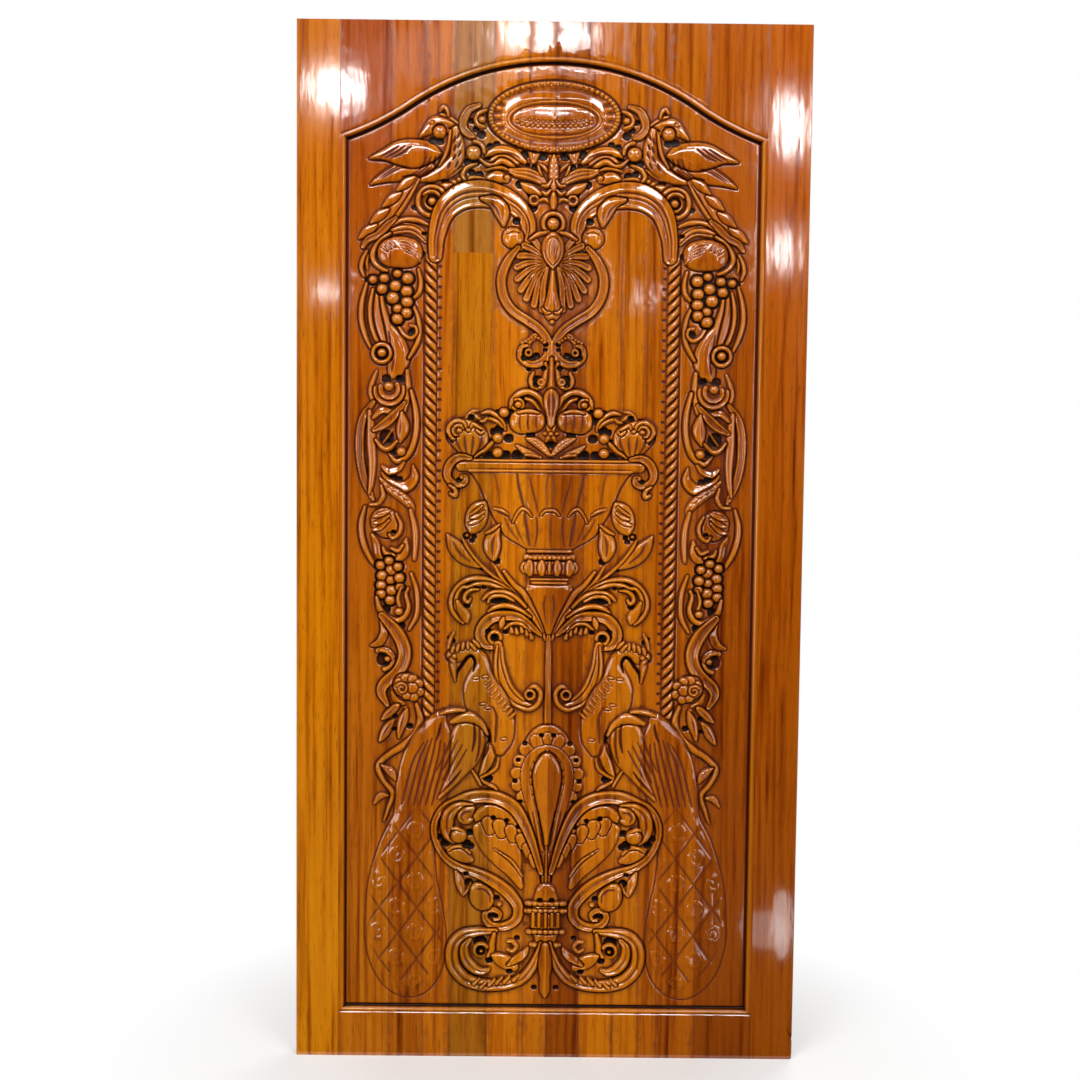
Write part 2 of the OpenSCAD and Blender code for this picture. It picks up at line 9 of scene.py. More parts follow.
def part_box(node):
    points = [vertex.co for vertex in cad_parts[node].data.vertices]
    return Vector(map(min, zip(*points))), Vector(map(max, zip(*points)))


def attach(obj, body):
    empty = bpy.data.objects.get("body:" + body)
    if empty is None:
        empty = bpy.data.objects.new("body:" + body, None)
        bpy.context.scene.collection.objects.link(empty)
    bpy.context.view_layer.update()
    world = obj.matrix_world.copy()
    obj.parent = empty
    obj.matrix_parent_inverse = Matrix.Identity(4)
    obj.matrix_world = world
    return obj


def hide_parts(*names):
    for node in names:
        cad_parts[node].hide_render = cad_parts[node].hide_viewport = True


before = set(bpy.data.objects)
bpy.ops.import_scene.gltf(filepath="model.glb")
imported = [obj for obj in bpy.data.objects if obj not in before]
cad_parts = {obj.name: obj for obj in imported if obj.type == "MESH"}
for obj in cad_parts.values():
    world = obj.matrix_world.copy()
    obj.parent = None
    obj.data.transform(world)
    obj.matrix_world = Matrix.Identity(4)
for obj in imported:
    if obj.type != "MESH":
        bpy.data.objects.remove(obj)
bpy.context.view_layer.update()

# The slab: upright teak boards glued edge to edge, planed flat before any carving was done.
# Its face is sunk inside an ogee-arched outline, and the edge there is worked as a bead with a deep quirk.
# All carving sizes below are in millimetres: x from the centre line, z from the foot, depth from the field.
MM = 0.001
leaf_low, leaf_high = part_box("carved_panel")
half_w = leaf_high[0] / MM
leaf_h = leaf_high[2] / MM
face_y = leaf_low[1] / MM
back_y = leaf_high[1] / MM
relief_depth = 12
moulding_w = 16
field_half_w = half_w - moulding_w
field_foot = 105
field_crown = 1970
arch_drop = 148
turn_across_share, turn_down_share, below_arch_share = 0.685, 0.568, 1.3

columns = np.arange(0, int(half_w) + 1)
rows = np.arange(0, int(leaf_h) + 1)
across, up = np.meshgrid(columns.astype(float), rows.astype(float))

turn_x = field_half_w * turn_across_share
turn_drop = arch_drop * turn_down_share
crown_r = (turn_x ** 2 + turn_drop ** 2) / (2 * turn_drop)
turn_angle = 2 * math.atan2(turn_drop, turn_x)
corner_along = field_half_w * math.sin(turn_angle) + (crown_r - arch_drop) * math.cos(turn_angle)
corner_reach = math.hypot(field_half_w, crown_r - arch_drop)
shoulder_r = (corner_reach ** 2 - 2 * crown_r * corner_along + crown_r ** 2) / 2 / (corner_along - crown_r)
crown_mid = field_crown - crown_r
shoulder_x = (crown_r + shoulder_r) * math.sin(turn_angle)
shoulder_z = crown_mid + (crown_r + shoulder_r) * math.cos(turn_angle)
crown_out = np.hypot(across, up - crown_mid) - crown_r
shoulder_out = shoulder_r - np.hypot(across - shoulder_x, up - shoulder_z)
past_turn = across * math.cos(turn_angle) > (up - crown_mid) * math.sin(turn_angle)
arch_out = np.where(past_turn, shoulder_out, crown_out)
arch_out[up < field_crown - below_arch_share * arch_drop] = -relief_depth
edge_out = np.maximum.reduce([across - field_half_w, field_foot - up, arch_out])

bead_profile = [(0, 0), (2.5, -3.5), (6, -3.5), (6.6, 6.5), (8, 10.2), (10.5, 11.4), (13, 10.2),
                (14.6, 8.6), (16, 12)]
side_profile = [(0, 0), (2, -2), (4.5, -2), (5.2, 6), (7, 10.4), (9.5, 11.6), (12, 11.9), (16, 12)]
relief = np.interp(edge_out, *zip(*bead_profile))
side_h = np.interp(edge_out, *zip(*side_profile))
on_side = across - field_half_w >= np.maximum(field_foot - up, arch_out)
relief[on_side] = side_h[on_side]

# The strokes: a carver's gouge cuts, each laid along a drawn line with a width, a height and a section.
# Beside every stroke the ground is cut lower, so that the form stands clear with a dark line round it.
# Painted shade is laid into fine cuts, drilled holes and the lowered ground, kept as a depth that adds to
# their real one.
painted_shade = np.zeros_like(relief)
# Painted shade, in mm of added depth: in drilled eyes and on their edges, round strokes, along the arch's
# quirk, and in cuts.
eye_painted_shade_mm, eye_edge_painted_shade_mm, ditch_painted_shade_mm, arch_painted_shade_mm = 3.0, 1.2, 0.7, 1.4
cut_painted_shade_mm, cut_painted_shade_share, deepest_painted_shade_mm = 0.5, 0.6, 2.5
painted_shade_reach_mm, arch_shade_reach_mm, quirk_mid = 1.2, 9, 3
ground_kept_share = 0.25
dab = 0.6
# Painted shade along the arch: a broad dark band over the quirk of the arch moulding.
on_arch = arch_out >= np.maximum(across - field_half_w, field_foot - up)
from_quirk = np.abs(edge_out - quirk_mid)
painted_shade[on_arch] = (arch_painted_shade_mm * np.clip(1 - from_quirk / arch_shade_reach_mm, 0, 1))[on_arch]


def curve(points):
    """Samples about 1 mm apart on a smooth line through given (x, z, half width) points."""
    p = np.array(points, dtype=float)
    p = np.vstack([2 * p[0] - p[1], p, 2 * p[-1] - p[-2]])
    pieces = []
    for a, b, c, d in zip(p[:-3], p[1:-2], p[2:-1], p[3:]):
        count = max(int(np.hypot(*(c - b)[:2])), 2)
        k = np.linspace(0, 1, count, endpoint=False)[:, None]
        pieces.append(0.5 * (2 * b + (c - a) * k + (2 * a - 5 * b + 4 * c - d) * k ** 2
                             + (3 * b - a - 3 * c + d) * k ** 3))
    line = np.vstack(pieces + [p[-2:-1]])
    line[:, 2] = np.clip(line[:, 2], 0.5, None)
    return line


def trace(points, reach):
    """Near a line: the window of cells, their gap to its edge, and their place across it and along it."""
    line = curve(points)
    heading = np.gradient(line[:, :2], axis=0)
    heading /= np.maximum(np.hypot(heading[:, 0], heading[:, 1]), 1e-6)[:, None]
    far = line[:, 2].max() + reach
    c0 = int(max(line[:, 0].min() - far, 0))
    c1 = int(min(line[:, 0].max() + far + 2, len(columns)))
    r0 = int(max(line[:, 1].min() - far, 0))
    r1 = int(min(line[:, 1].max() + far + 2, len(rows)))
    window = (slice(r0, r1), slice(c0, c1))
    gap = np.full((r1 - r0, c1 - c0), 1e3)
    side = np.zeros_like(gap)
    place = np.zeros_like(gap)
    for k, (x, z, w) in enumerate(line):
        a0, a1 = max(int(x - w - reach), c0) - c0, min(int(x + w + reach) + 2, c1) - c0
        b0, b1 = max(int(z - w - reach), r0) - r0, min(int(z + w + reach) + 2, r1) - r0
        if a1 <= a0 or b1 <= b0:
            continue
        dx = columns[c0 + a0:c0 + a1] - x
        dz = (rows[r0 + b0:r0 + b1] - z)[:, None]
        d = np.hypot(dx, dz)
        near = d - w < gap[b0:b1, a0:a1]
        cross = heading[k, 0] * dz - heading[k, 1] * dx
        gap[b0:b1, a0:a1][near] = (d - w)[near]
        side[b0:b1, a0:a1][near] = np.copysign(np.minimum(d / w, 1), cross)[near]
        place[b0:b1, a0:a1][near] = k / len(line)
    return window, gap, side, place


# Sections of a stroke, from 0 to 1 high: s runs across it from -1 to 1, and t along it from 0 to 1.
def rounded(s, t):
    return np.sqrt(1 - s * s)


def broad(s, t):
    return (1 - s * s) ** 0.35


def domed(s, t):
    return 1 - s * s


def ridged(s, t):
    return (1 - np.abs(s)) ** 0.75


def hollow(s, t):
    rim_at, rim_w, floor, wall = 0.7, 0.3, 0.42, 0.58
    a = np.abs(s)
    rim = np.sqrt(np.clip(1 - ((a - rim_at) / rim_w) ** 2, 0, 1))
    return np.where(a > rim_at, rim, floor + wall * (a / rim_at) ** 2)


def leaf(s, t):
    crown, vein_rise, vein_count, vein_slant, rib_cut, rib_w = 0.88, 0.10, 7, 1.1, 0.34, 0.14
    veins = vein_rise * np.cos(2 * np.pi * (vein_count * t - vein_slant * np.abs(s)))
    return np.sqrt(1 - s * s) * (crown + veins) - rib_cut * np.exp(-(s / rib_w) ** 2)


def fluted(count):
    """A band of that many rounded ridges side by side."""
    floor, wall = 0.42, 0.58

    def form(s, t):
        ridges = np.abs(np.cos(np.pi * (s + 1) / 2 * count + np.pi / 2)) ** 0.7
        return (1 - s ** 4) ** 0.5 * (floor + wall * ridges)
    return form


def lipped(way):
    """A hollow cut that rises to one lip, on the left of the stroke for 1 and on its right for -1."""
    lip_at, lip_w, floor, wall, root_w = 0.8, 0.2, 0.38, 0.62, 0.1

    def form(s, t):
        a = (way * s + 1) / 2
        lip = np.sqrt(np.clip(1 - ((a - lip_at) / lip_w) ** 2, 0, 1))
        return np.where(a > lip_at, lip, floor + wall * (a / lip_at) ** 1.6) * np.clip(a / root_w, 0, 1)
    return form


def lay(form, rise, *points, ditch=3.5, sink=1.2, base=0.0):
    """Cuts a stroke: its own section inside its outline, and lower ground with painted shade for a few mm
    round it.
    """
    window, gap, side, place = trace(points, ditch)
    view = relief[window]
    ground = np.clip(gap / ditch, 0, 1)
    ground = ground * ground * (3 - 2 * ground)
    round_it = (gap >= 0) & (gap < ditch)
    lowered = view * (ground_kept_share + (1 - ground_kept_share) * ground) - sink * (1 - ground)
    view[round_it] = lowered[round_it]
    # Painted shade in the lowered ground round the stroke.
    painted_shade[window][round_it] = np.maximum(painted_shade[window], ditch_painted_shade_mm * (1 - ground))[round_it]
    inside = gap < 0
    view[inside] = (base + rise * form(side, place))[inside]
    painted_shade[window][inside] = 0


def score(depth, *points):
    """Cuts a V groove into what is already carved, and paints shade into it and over its edges."""
    window, gap, side = trace(points, painted_shade_reach_mm)[:3]
    inside = gap < 0
    relief[window][inside] -= (depth * (1 - np.abs(side)))[inside]
    near = gap < painted_shade_reach_mm
    # Painted shade in the groove and over its edges.
    cut_shade = cut_painted_shade_mm + cut_painted_shade_share * min(depth, deepest_painted_shade_mm)
    painted_shade[window][near] = np.maximum(painted_shade[window], cut_shade)[near]


def boss(x, z, radius, rise, ditch=3.0, sink=2.0, base=0.0):
    """A round boss or berry with a moat cut round it."""
    lay(rounded, rise, (x - dab, z, radius), (x + dab, z, radius), ditch=ditch, sink=sink, base=base)


def drill(depth, *eyes):
    """Eyes drilled at (x, z, radius) below the field, with painted shade in them and on their edges."""
    for x, z, radius in eyes:
        window, gap = trace([(x - dab, z, radius), (x + dab, z, radius)], painted_shade_reach_mm)[:2]
        inside = gap < 0
        relief[window][inside] = -depth
        # Painted shade: the hole is made nearly black, and its edge darker.
        painted_shade[window][inside] = eye_painted_shade_mm
        edge = (gap >= 0) & (gap < painted_shade_reach_mm)
        painted_shade[window][edge] = np.maximum(painted_shade[window], eye_edge_painted_shade_mm)[edge]


def ring(form, rise, x, z, radius, half, start=0, end=360, **cut):
    """A stroke round part of a circle, in degrees from +x towards +z."""
    degrees_per_point = 20
    count = max(int(abs(end - start) / degrees_per_point), 4)
    turns = [math.radians(start + (end - start) * k / count) for k in range(count + 1)]
    lay(form, rise, *[(x + radius * math.cos(a), z + radius * math.sin(a), half) for a in turns], **cut)


def coil(x, z, outer, inner, start, turn, half):
    """Points of a spiral that winds in from outer to inner over turn degrees."""
    degrees_per_point, thinned_share = 25, 0.35
    count = max(int(abs(turn) / degrees_per_point), 4)
    points = []
    for k in range(count + 1):
        share = k / count
        a = math.radians(start + turn * share)
        radius = outer + (inner - outer) * share
        half_here = half * (1 - thinned_share * share)
        points.append((x + radius * math.cos(a), z + radius * math.sin(a), half_here))
    return points


def beads(radius, rise, pitch, *points, base=0.0):
    """A row of small balls along a drawn line."""
    line = curve(points)
    run = np.concatenate([[0], np.cumsum(np.hypot(*np.diff(line[:, :2], axis=0).T))])
    for at in np.arange(0, run[-1] + 0.5, pitch):
        x, z = np.interp(at, run, line[:, 0]), np.interp(at, run, line[:, 1])
        boss(x, z, radius, rise, ditch=1.5, sink=0.8, base=base)


# The rope columns: a cable moulding on each side, cut as slanting strands with deep slots between, painted
# black as shade.
# A row of drilled dots runs along its inner side, and its top passes into the arch band.
rope_x, rope_half, rope_pitch, rope_rise, rope_sink = 238, 12, 20, 10, 2
rope_foot, rope_head = 690, 1604
rope_bed_x, rope_bed_half, rope_bed_depth = 239.5, 14.5, 2.6
strand_slope, slot_share, slot_painted_shade_mm, slot_shade_from, slot_shade_fade = 0.95, 0.2, 2.6, 1.3, 0.3
dot_x, dot_r, dot_depth, lowest_dot = 220, 2.8, 0.8, 30
for dot_z in range(rope_foot + lowest_dot, rope_head, rope_pitch):
    drill(dot_depth, (dot_x, dot_z, dot_r))
on_rope = (np.abs(across - rope_bed_x) < rope_bed_half) & (up > rope_foot) & (up < rope_head)
rope_s = np.clip((across - rope_x) / rope_half, -1, 1)
strand = np.abs(np.sin(np.pi * (up - strand_slope * (across - rope_x)) / rope_pitch))
strand_h = np.clip((strand - slot_share) / (1 - slot_share), 0, 1) ** 0.5
rope_h = rope_rise * np.sqrt(1 - rope_s ** 2) * strand_h - rope_sink
relief[on_rope] = np.where(np.abs(rope_s) < 1, rope_h, -rope_bed_depth)[on_rope]
# Painted shade, black in the slots between the strands.
painted_shade[on_rope] = (slot_painted_shade_mm * np.clip(slot_shade_from - strand / slot_shade_fade, 0, 1))[on_rope]

# The cartouche: an oval boss over the door's axis with a beaded rim, a cove and a dished plate in it.
# Flutes spread from its two ends, and a frill of scallops with deep gaps hangs below the rim.
oval_z, oval_a, oval_b = 1871, 129, 68
plate_z, plate_a, plate_b = 1865, 92, 37
drill(5, (22, 1796, 9), (59, 1798, 9))
for frill_x, frill_z in ((0, 1795), (40, 1795), (76, 1804)):
    lay(hollow, 8, (frill_x, frill_z - 10, 5), (frill_x * 0.96, frill_z + 8, 12), ditch=2.5)


def oval_depth(mid_z, half_a, half_b):
    """How far each cell lies inside an oval round the axis."""
    share = np.hypot(across / half_a, (up - mid_z) / half_b).clip(0.05)
    return (1 - share) * np.hypot(across, up - mid_z) / share


rim_depth = oval_depth(oval_z, oval_a, oval_b)
rim_profile = [(-6, 0), (-4, -3), (-0.5, -3), (0, 5.5), (2.5, 7), (8, 7), (10, 4.6), (14, 2.6), (20, 2.2),
               (26, 3.2), (34, 5)]
rim_h = np.interp(rim_depth, *zip(*rim_profile))
flute_turn = np.arctan2((up - oval_z) / oval_b, across / oval_a)
flute_from, flute_blend, flute_mid, flute_half, flute_rise, flutes_per_radian = 92, 8, 20, 11, 2.8, 24
in_cove = np.clip(1 - np.abs(rim_depth - flute_mid) / flute_half, 0, 1)
end_flutes = np.clip((across - flute_from) / flute_blend, 0, 1) * in_cove
rim_h += flute_rise * end_flutes * np.cos(flute_turn * flutes_per_radian)
plate_depth = oval_depth(plate_z, plate_a, plate_b)
plate_profile = [(-2, 0), (-0.5, -1), (0, 3), (2.5, 5.6), (5, 3), (6.5, -0.6), (9, -0.6), (12, 1.6)]
plate_floor, plate_swell, swell_share = 2.6, 2.6, 0.75
plate_h = plate_floor + np.interp(plate_depth, *zip(*plate_profile))
plate_swelling = swell_share - (across / plate_a) ** 2 - ((up - plate_z) / plate_b) ** 2
plate_h += plate_swell * np.clip(plate_swelling, 0, 1)
oval_h = np.where(plate_depth > plate_profile[0][0], plate_h, rim_h)
relief[rim_depth > 0] = oval_h[rim_depth > 0]
moat = (rim_depth > rim_profile[0][0]) & (rim_depth <= 0)
relief[moat] = np.minimum(relief, rim_h)[moat]
rim_count, rim_bead_inset, rim_bead_r = 30, 5, 4.3
for k in range(rim_count + 1):
    a = math.pi * (k / rim_count - 0.5)
    bead_x = (oval_a - rim_bead_inset) * math.cos(a)
    bead_z = oval_z + (oval_b - rim_bead_inset) * math.sin(a)
    boss(bead_x, bead_z, rim_bead_r, 5.5, ditch=1.4, sink=0.6, base=5.5)
beads(3.4, 4, 10.5, (0, 1852, 1), (38, 1853, 1), (62, 1856, 1), (79, 1864, 1), base=4.4)
beads(2.4, 3, 9, (4, 1861, 1), (38, 1862, 1), (60, 1866, 1), base=4.6)

# The crest foliage: acanthus leaves that rise from a knot on the axis and curl out under the cartouche.
# Scrolls and a ringed berry close the space between the oval and the parrots.
drill(5, (128, 1794, 7), (139, 1785, 5), (152, 1782, 7), (168, 1783, 7), (66, 1741, 8), (57, 1741, 5),
      (44, 1722, 7), (37, 1774, 6), (51, 1778, 4), (40, 1696, 8), (146, 1758, 8), (160, 1763, 6),
      (212, 1746, 7), (112, 1818, 6), (125, 1814, 6), (142, 1836, 8), (152, 1846, 6), (161, 1862, 5))
lay(broad, 9, (56, 1783, 4), (78, 1797, 11), (103, 1803, 12), (122, 1801, 7), (133, 1794, 2), sink=2.5)
score(2.4, (66, 1790, 1), (88, 1799, 2.4), (112, 1798, 2))
lay(broad, 8.5, (70, 1780, 3), (90, 1788, 8), (112, 1788, 8), (126, 1782, 3), ditch=2)
lay(rounded, 11, (87, 1762, 2.5), (78, 1771, 4), (88, 1780, 5.5), (103, 1785, 6), (117, 1777, 4.5),
    (131, 1778, 4), (147, 1791, 2.5), sink=2)
lay(hollow, 9, (146, 1891, 4), (166, 1882, 7), (177, 1862, 8), (177, 1846, 8), (166, 1835, 7),
    (157, 1831, 4), sink=2.5)
lay(rounded, 8.5, (133, 1882, 3), (146, 1876, 5), (152, 1864, 5.5), (146, 1853, 5), (136, 1850, 3))
boss(141, 1864, 7, 9)
ring(rounded, 8, 157, 1801, 21, 4, 95, 180)
boss(157, 1800, 14, 11, sink=3)
lay(fluted(3), 9.5, (13, 1737, 4), (30, 1752, 10), (52, 1761, 12), (73, 1763, 9), (88, 1768, 3), sink=2.5)
lay(rounded, 9, (10, 1763, 2), (18, 1772, 4), (29, 1781, 2))
lay(rounded, 9, (23, 1757, 2), (28, 1767, 3.5), (31, 1777, 2), ditch=2)
lay(broad, 8.5, (26, 1722, 4), (44, 1731, 10), (57, 1738, 6), (64, 1743, 2), sink=2)
lay(broad, 9, (90, 1748, 4), (108, 1754, 12), (122, 1752, 9), (134, 1744, 3), sink=2)
boss(91, 1753, 6, 10, ditch=2)
lay(rounded, 9.5, (90, 1768, 2), (102, 1772, 3.5), (120, 1770, 3), (134, 1766, 2), ditch=2)
lay(rounded, 8, (128, 1744, 2), (142, 1751, 4), (160, 1752, 4), (168, 1747, 2), ditch=2)
lay(rounded, 9, (150, 1779, 2), (163, 1775, 4), (174, 1767, 4.5), (178, 1755, 4.5), (171, 1745, 3),
    sink=2.5)
lay(rounded, 8.5, (180, 1770, 2), (193, 1761, 3.5), (206, 1754, 3.5), (215, 1752, 3.5), (220, 1759, 2),
    sink=2)
boss(193, 1741, 8, 10)
boss(185, 1748, 4.5, 9)
lay(broad, 8, (200, 1738, 3), (214, 1730, 11), (227, 1720, 4), ditch=3)
lay(leaf, 10, (0, 1726, 5), (0, 1754, 10), (0, 1780, 9), (0, 1798, 2), sink=2.5)
lay(rounded, 9, (5, 1748, 2.5), (12, 1738, 4), (22, 1738, 3), ditch=2)
lay(rounded, 9, (6, 1730, 2.5), (14, 1722, 4), (22, 1726, 3), ditch=2)
ring(rounded, 8.5, 38, 1710, 8, 3.2, ditch=2, sink=2.5)
lay(rounded, 8.5, (8, 1706, 3), (18, 1712, 4), (28, 1709, 3), ditch=2)
lay(rounded, 8.5, (0, 1696, 5), (0, 1708, 8), (0, 1722, 5))

# The parrots: one on each shoulder of the arch, head turned out, with a hooked beak and a folded wing.
# Breast and wing are smooth masses, and the feathers are long gouge cuts over them.
lay(broad, 7.5, (240, 1772, 8), (270, 1767, 18), (302, 1761, 17), (332, 1751, 10), (358, 1737, 1), ditch=4,
    sink=2.5)
lay(broad, 8.5, (194, 1846, 8), (188, 1815, 13), (191, 1788, 14), (212, 1766, 14), (240, 1752, 9),
    (262, 1746, 3))
lay(broad, 10, (223, 1798, 4), (246, 1800, 20), (272, 1797, 28), (298, 1798, 24), (328, 1795, 11),
    (360, 1787, 1), ditch=4, sink=2.5)
for feather in range(4):
    score(3, (222 + 9 * feather, 1792 - feather, 1), (229 + 9 * feather, 1772, 2.2),
          (250 + 8 * feather, 1757, 2.2), (268 + 9 * feather, 1752, 1))
for feather in range(3):
    score(3.5, (278 + 12 * feather, 1810, 1), (296 + 12 * feather, 1796 + feather, 2.6),
          (314 + 12 * feather, 1788, 1.2))
    score(2.6, (290 + 12 * feather, 1772, 1), (312 + 9 * feather, 1762, 2), (334 + 6 * feather, 1748, 1))
lay(rounded, 10, (202, 1842, 3), (205, 1818, 4), (211, 1796, 4), (224, 1773, 2), ditch=2, sink=1)
drill(3, (222, 1822, 7), (236, 1823, 8))
lay(broad, 10, (198, 1857, 6), (216, 1857, 15), (234, 1852, 15), (252, 1838, 7), (263, 1828, 1))
lay(rounded, 4, (207, 1840, 3), (214, 1850, 3.5), (228, 1851, 3), ditch=1.5, sink=0, base=7)
boss(223, 1840, 13, 11)
boss(238, 1856, 3.5, 2, ditch=1.8, sink=0, base=9.5)
lay(rounded, 8, (188, 1856, 2.5), (206, 1868, 4), (222, 1873, 3))
lay(rounded, 9, (206, 1870, 3), (209, 1881, 4), (216, 1887, 4.5), (223, 1879, 3))
for dash_x, dash_z in (
        (186, 1832), (194, 1824), (184, 1814), (193, 1808), (183, 1797), (194, 1790), (189, 1777),
        (204, 1774)):
    score(4, (dash_x - 2, dash_z + 6, 1), (dash_x, dash_z, 2.4), (dash_x + 3, dash_z - 6, 1))

# The shoulder leaf and rosette: a lobed leaf falls from the parrot's tail along the panel's edge.
# A spiral rosette fills the space between it and the arch band.
lay(broad, 7, (268, 1748, 5), (288, 1722, 9), (308, 1694, 11), (334, 1662, 10), (364, 1632, 3), ditch=3,
    sink=1.5)
for lobe_x, lobe_z in ((380, 1632), (357, 1662), (333, 1694), (306, 1725)):
    lay(broad, 8, (lobe_x - 34, lobe_z + 26, 4), (lobe_x - 18, lobe_z + 15, 10), (lobe_x, lobe_z, 2),
        ditch=2.5, sink=2)
lay(rounded, 8.5, (262, 1748, 2), (281, 1714, 4), (302, 1682, 4), (328, 1650, 4), (352, 1630, 2), ditch=2.5,
    sink=2)
drill(3, (272, 1694, 5))
ring(rounded, 9, 237, 1706, 28, 5, ditch=4, sink=2.5)
lay(rounded, 9, *coil(237, 1706, 20, 13, 40, 360, 4))
drill(3, (237, 1706, 12))
boss(237, 1706, 7.5, 10, ditch=1)

# The vine: a strip of hooded leaves, pods, lilies, buds and two bunches of grapes down each side.
# Its stems are double ridges with a black groove between them, and its fruit is cut almost free.
lay(rounded, 8.5, (244, 1660, 3), (262, 1668, 5), (282, 1670, 5.5), (302, 1666, 5), (316, 1656, 3), sink=2)
lay(hollow, 9, (308, 1672, 4), (324, 1658, 7), (342, 1640, 7), (362, 1630, 6), (372, 1616, 4), sink=2.5)
lay(broad, 7.5, (248, 1630, 6), (262, 1646, 10), (284, 1654, 10), (304, 1650, 8), (316, 1644, 3), sink=1.5)
lay(rounded, 9.5, (248, 1632, 3), (260, 1645, 4.5), (276, 1654, 4.5), (298, 1654, 5), (316, 1648, 3),
    ditch=2, sink=1)
drill(4, (252, 1643, 4))
drill(5, (256, 1604, 6), (303, 1571, 8), (326, 1562, 7), (362, 1552, 6))
lay(rounded, 8.5, (364, 1608, 3), (372, 1592, 4.5), (375, 1576, 4.5), (370, 1560, 3), sink=3)
lay(rounded, 8, (361, 1600, 2), (364, 1586, 3), (362, 1572, 2), ditch=2)
lay(rounded, 9.5, (318, 1643, 3), (334, 1632, 4.5), (347, 1617, 5), (353, 1601, 5.5), (349, 1586, 5),
    (338, 1576, 4.5), (326, 1570, 4.5), sink=3)
lay(rounded, 11.5, (284, 1606, 29), (300, 1607, 31), (316, 1606, 28), sink=3)
for fold in range(4):
    lay(rounded, 1.8, (259 + 4 * fold, 1590 + 9 * fold, 1.6), (271 + 5 * fold, 1603 + 8 * fold, 3.2),
        (287 + 5 * fold, 1608 + 7 * fold, 1.6), ditch=0.8, sink=0, base=8.2)
for fold in range(3):
    lay(rounded, 1.6, (308 + 8 * fold, 1616 - 4 * fold, 1.4), (316 + 8 * fold, 1625 - 5 * fold, 2.6),
        (322 + 7 * fold, 1630 - 6 * fold, 1.4), ditch=0.8, sink=0, base=7.8)
lay(rounded, 8.5, (364, 1546, 3), (373, 1512, 5), (375, 1478, 5.5), (367, 1445, 5), (356, 1420, 3), sink=3)
lay(rounded, 8.5, (352, 1534, 3), (357, 1504, 5), (356, 1472, 5), (348, 1444, 5), (338, 1424, 3), sink=3)
lay(broad, 7.5, (344, 1530, 3), (343, 1492, 8), (337, 1462, 10), (328, 1434, 8), sink=1)
lay(broad, 9.5, (336, 1528, 3), (331, 1496, 5), (321, 1464, 8), (306, 1432, 17), (300, 1402, 21),
    (306, 1380, 17), (315, 1364, 5), sink=2.5)
score(2.6, (320, 1452, 1), (316, 1420, 2.4), (312, 1392, 2.4), (314, 1376, 1))
ring(rounded, 9, 334, 1410, 17.5, 4.5, sink=3)
drill(3, (334, 1410, 13))
boss(334, 1411, 8.5, 10, ditch=1)
lay(rounded, 8.5, (263, 1574, 3), (258, 1550, 4.5), (261, 1530, 5), (272, 1517, 3), sink=3)
lay(rounded, 8.5, (272, 1502, 3), (263, 1480, 4.5), (260, 1455, 5), (263, 1435, 5), (272, 1416, 4.5),
    (281, 1401, 3), sink=3)
lay(rounded, 8, (302, 1464, 3), (291, 1447, 4), (276, 1440, 4), (266, 1450, 4), (268, 1462, 3),
    (278, 1464, 3))
drill(3, (276, 1452, 6.5))
grapes_high = ((352, 1553, 8), (330, 1556, 9), (304, 1565, 8), (284, 1556, 11), (334, 1535, 10),
               (308, 1541, 11), (286, 1531, 11), (313, 1518, 12), (285, 1510, 11), (303, 1497, 9),
               (286, 1489, 10.5), (304, 1477, 11))
grapes_low = ((335, 992, 9), (318, 1001, 9), (314, 982, 11), (301, 989, 9), (331, 971, 11),
              (315, 963, 9), (298, 967, 10), (333, 952, 10.5), (314, 942, 11), (333, 935, 10),
              (316, 923, 10), (297, 949, 8))


def bunch(grapes):
    """A bunch of grapes cut almost free: the wood round every grape is drilled out before it is rounded."""
    drill(3, *[(x, z, radius + 4) for x, z, radius in grapes])
    for x, z, radius in grapes:
        boss(x, z, radius, 11, ditch=2, sink=3)


bunch(grapes_high)
lay(rounded, 8, (344, 1374, 3), (352, 1354, 5), (356, 1334, 5), (350, 1312, 4))
lay(rounded, 9, (284, 1376, 4), (282, 1348, 6), (284, 1322, 6), (289, 1298, 4))
drill(3, (325, 1360, 9), (298, 1360, 8))
ring(lipped(-1), 9, 319, 1338, 26, 6, 170, 365)
ring(lipped(-1), 8.5, 319, 1340, 17, 5, 150, 375)
boss(320, 1345, 9, 8.5)
lay(hollow, 8.5, (350, 1314, 4), (367, 1290, 7), (375, 1264, 8), (377, 1232, 8.5), (375, 1198, 8),
    (368, 1164, 7.5), (358, 1138, 6), (350, 1122, 3), sink=2.5)
lay(broad, 7.5, (358, 1296, 4), (355, 1264, 8), (354, 1228, 9), (352, 1192, 8), (354, 1156, 6),
    (358, 1134, 3))
lay(rounded, 8.5, (276, 1337, 4), (268, 1305, 5.5), (265, 1275, 6), (268, 1245, 6), (277, 1218, 6),
    (292, 1202, 6), (306, 1199, 5), (318, 1213, 3), sink=3)
drill(3, (324, 1246, 14), (310, 1218, 8))
lay(rounded, 6, (314, 1258, 1.6), (322, 1246, 2), (331, 1234, 1.6), ditch=1, sink=0)
lay(lipped(1), 9, (350, 1284, 4), (334, 1298, 7), (316, 1296, 5))
lay(hollow, 9.5, (349, 1259, 4), (326, 1273, 9), (306, 1292, 8), (288, 1314, 3))
lay(broad, 10, (294, 1294, 3), (292, 1264, 13), (298, 1236, 3), sink=2.5)
score(1.6, (295, 1286, 1), (296, 1264, 2), (299, 1244, 1))
lay(rounded, 10, (345, 1240, 3), (333, 1225, 5), (319, 1223, 5), (303, 1238, 3))
boss(295, 1217, 9, 9.5)
lay(lipped(1), 8, (332, 1188, 3), (318, 1178, 7), (300, 1184, 6), (290, 1196, 3))
drill(3, (310, 1165, 8), (298, 1163, 6))
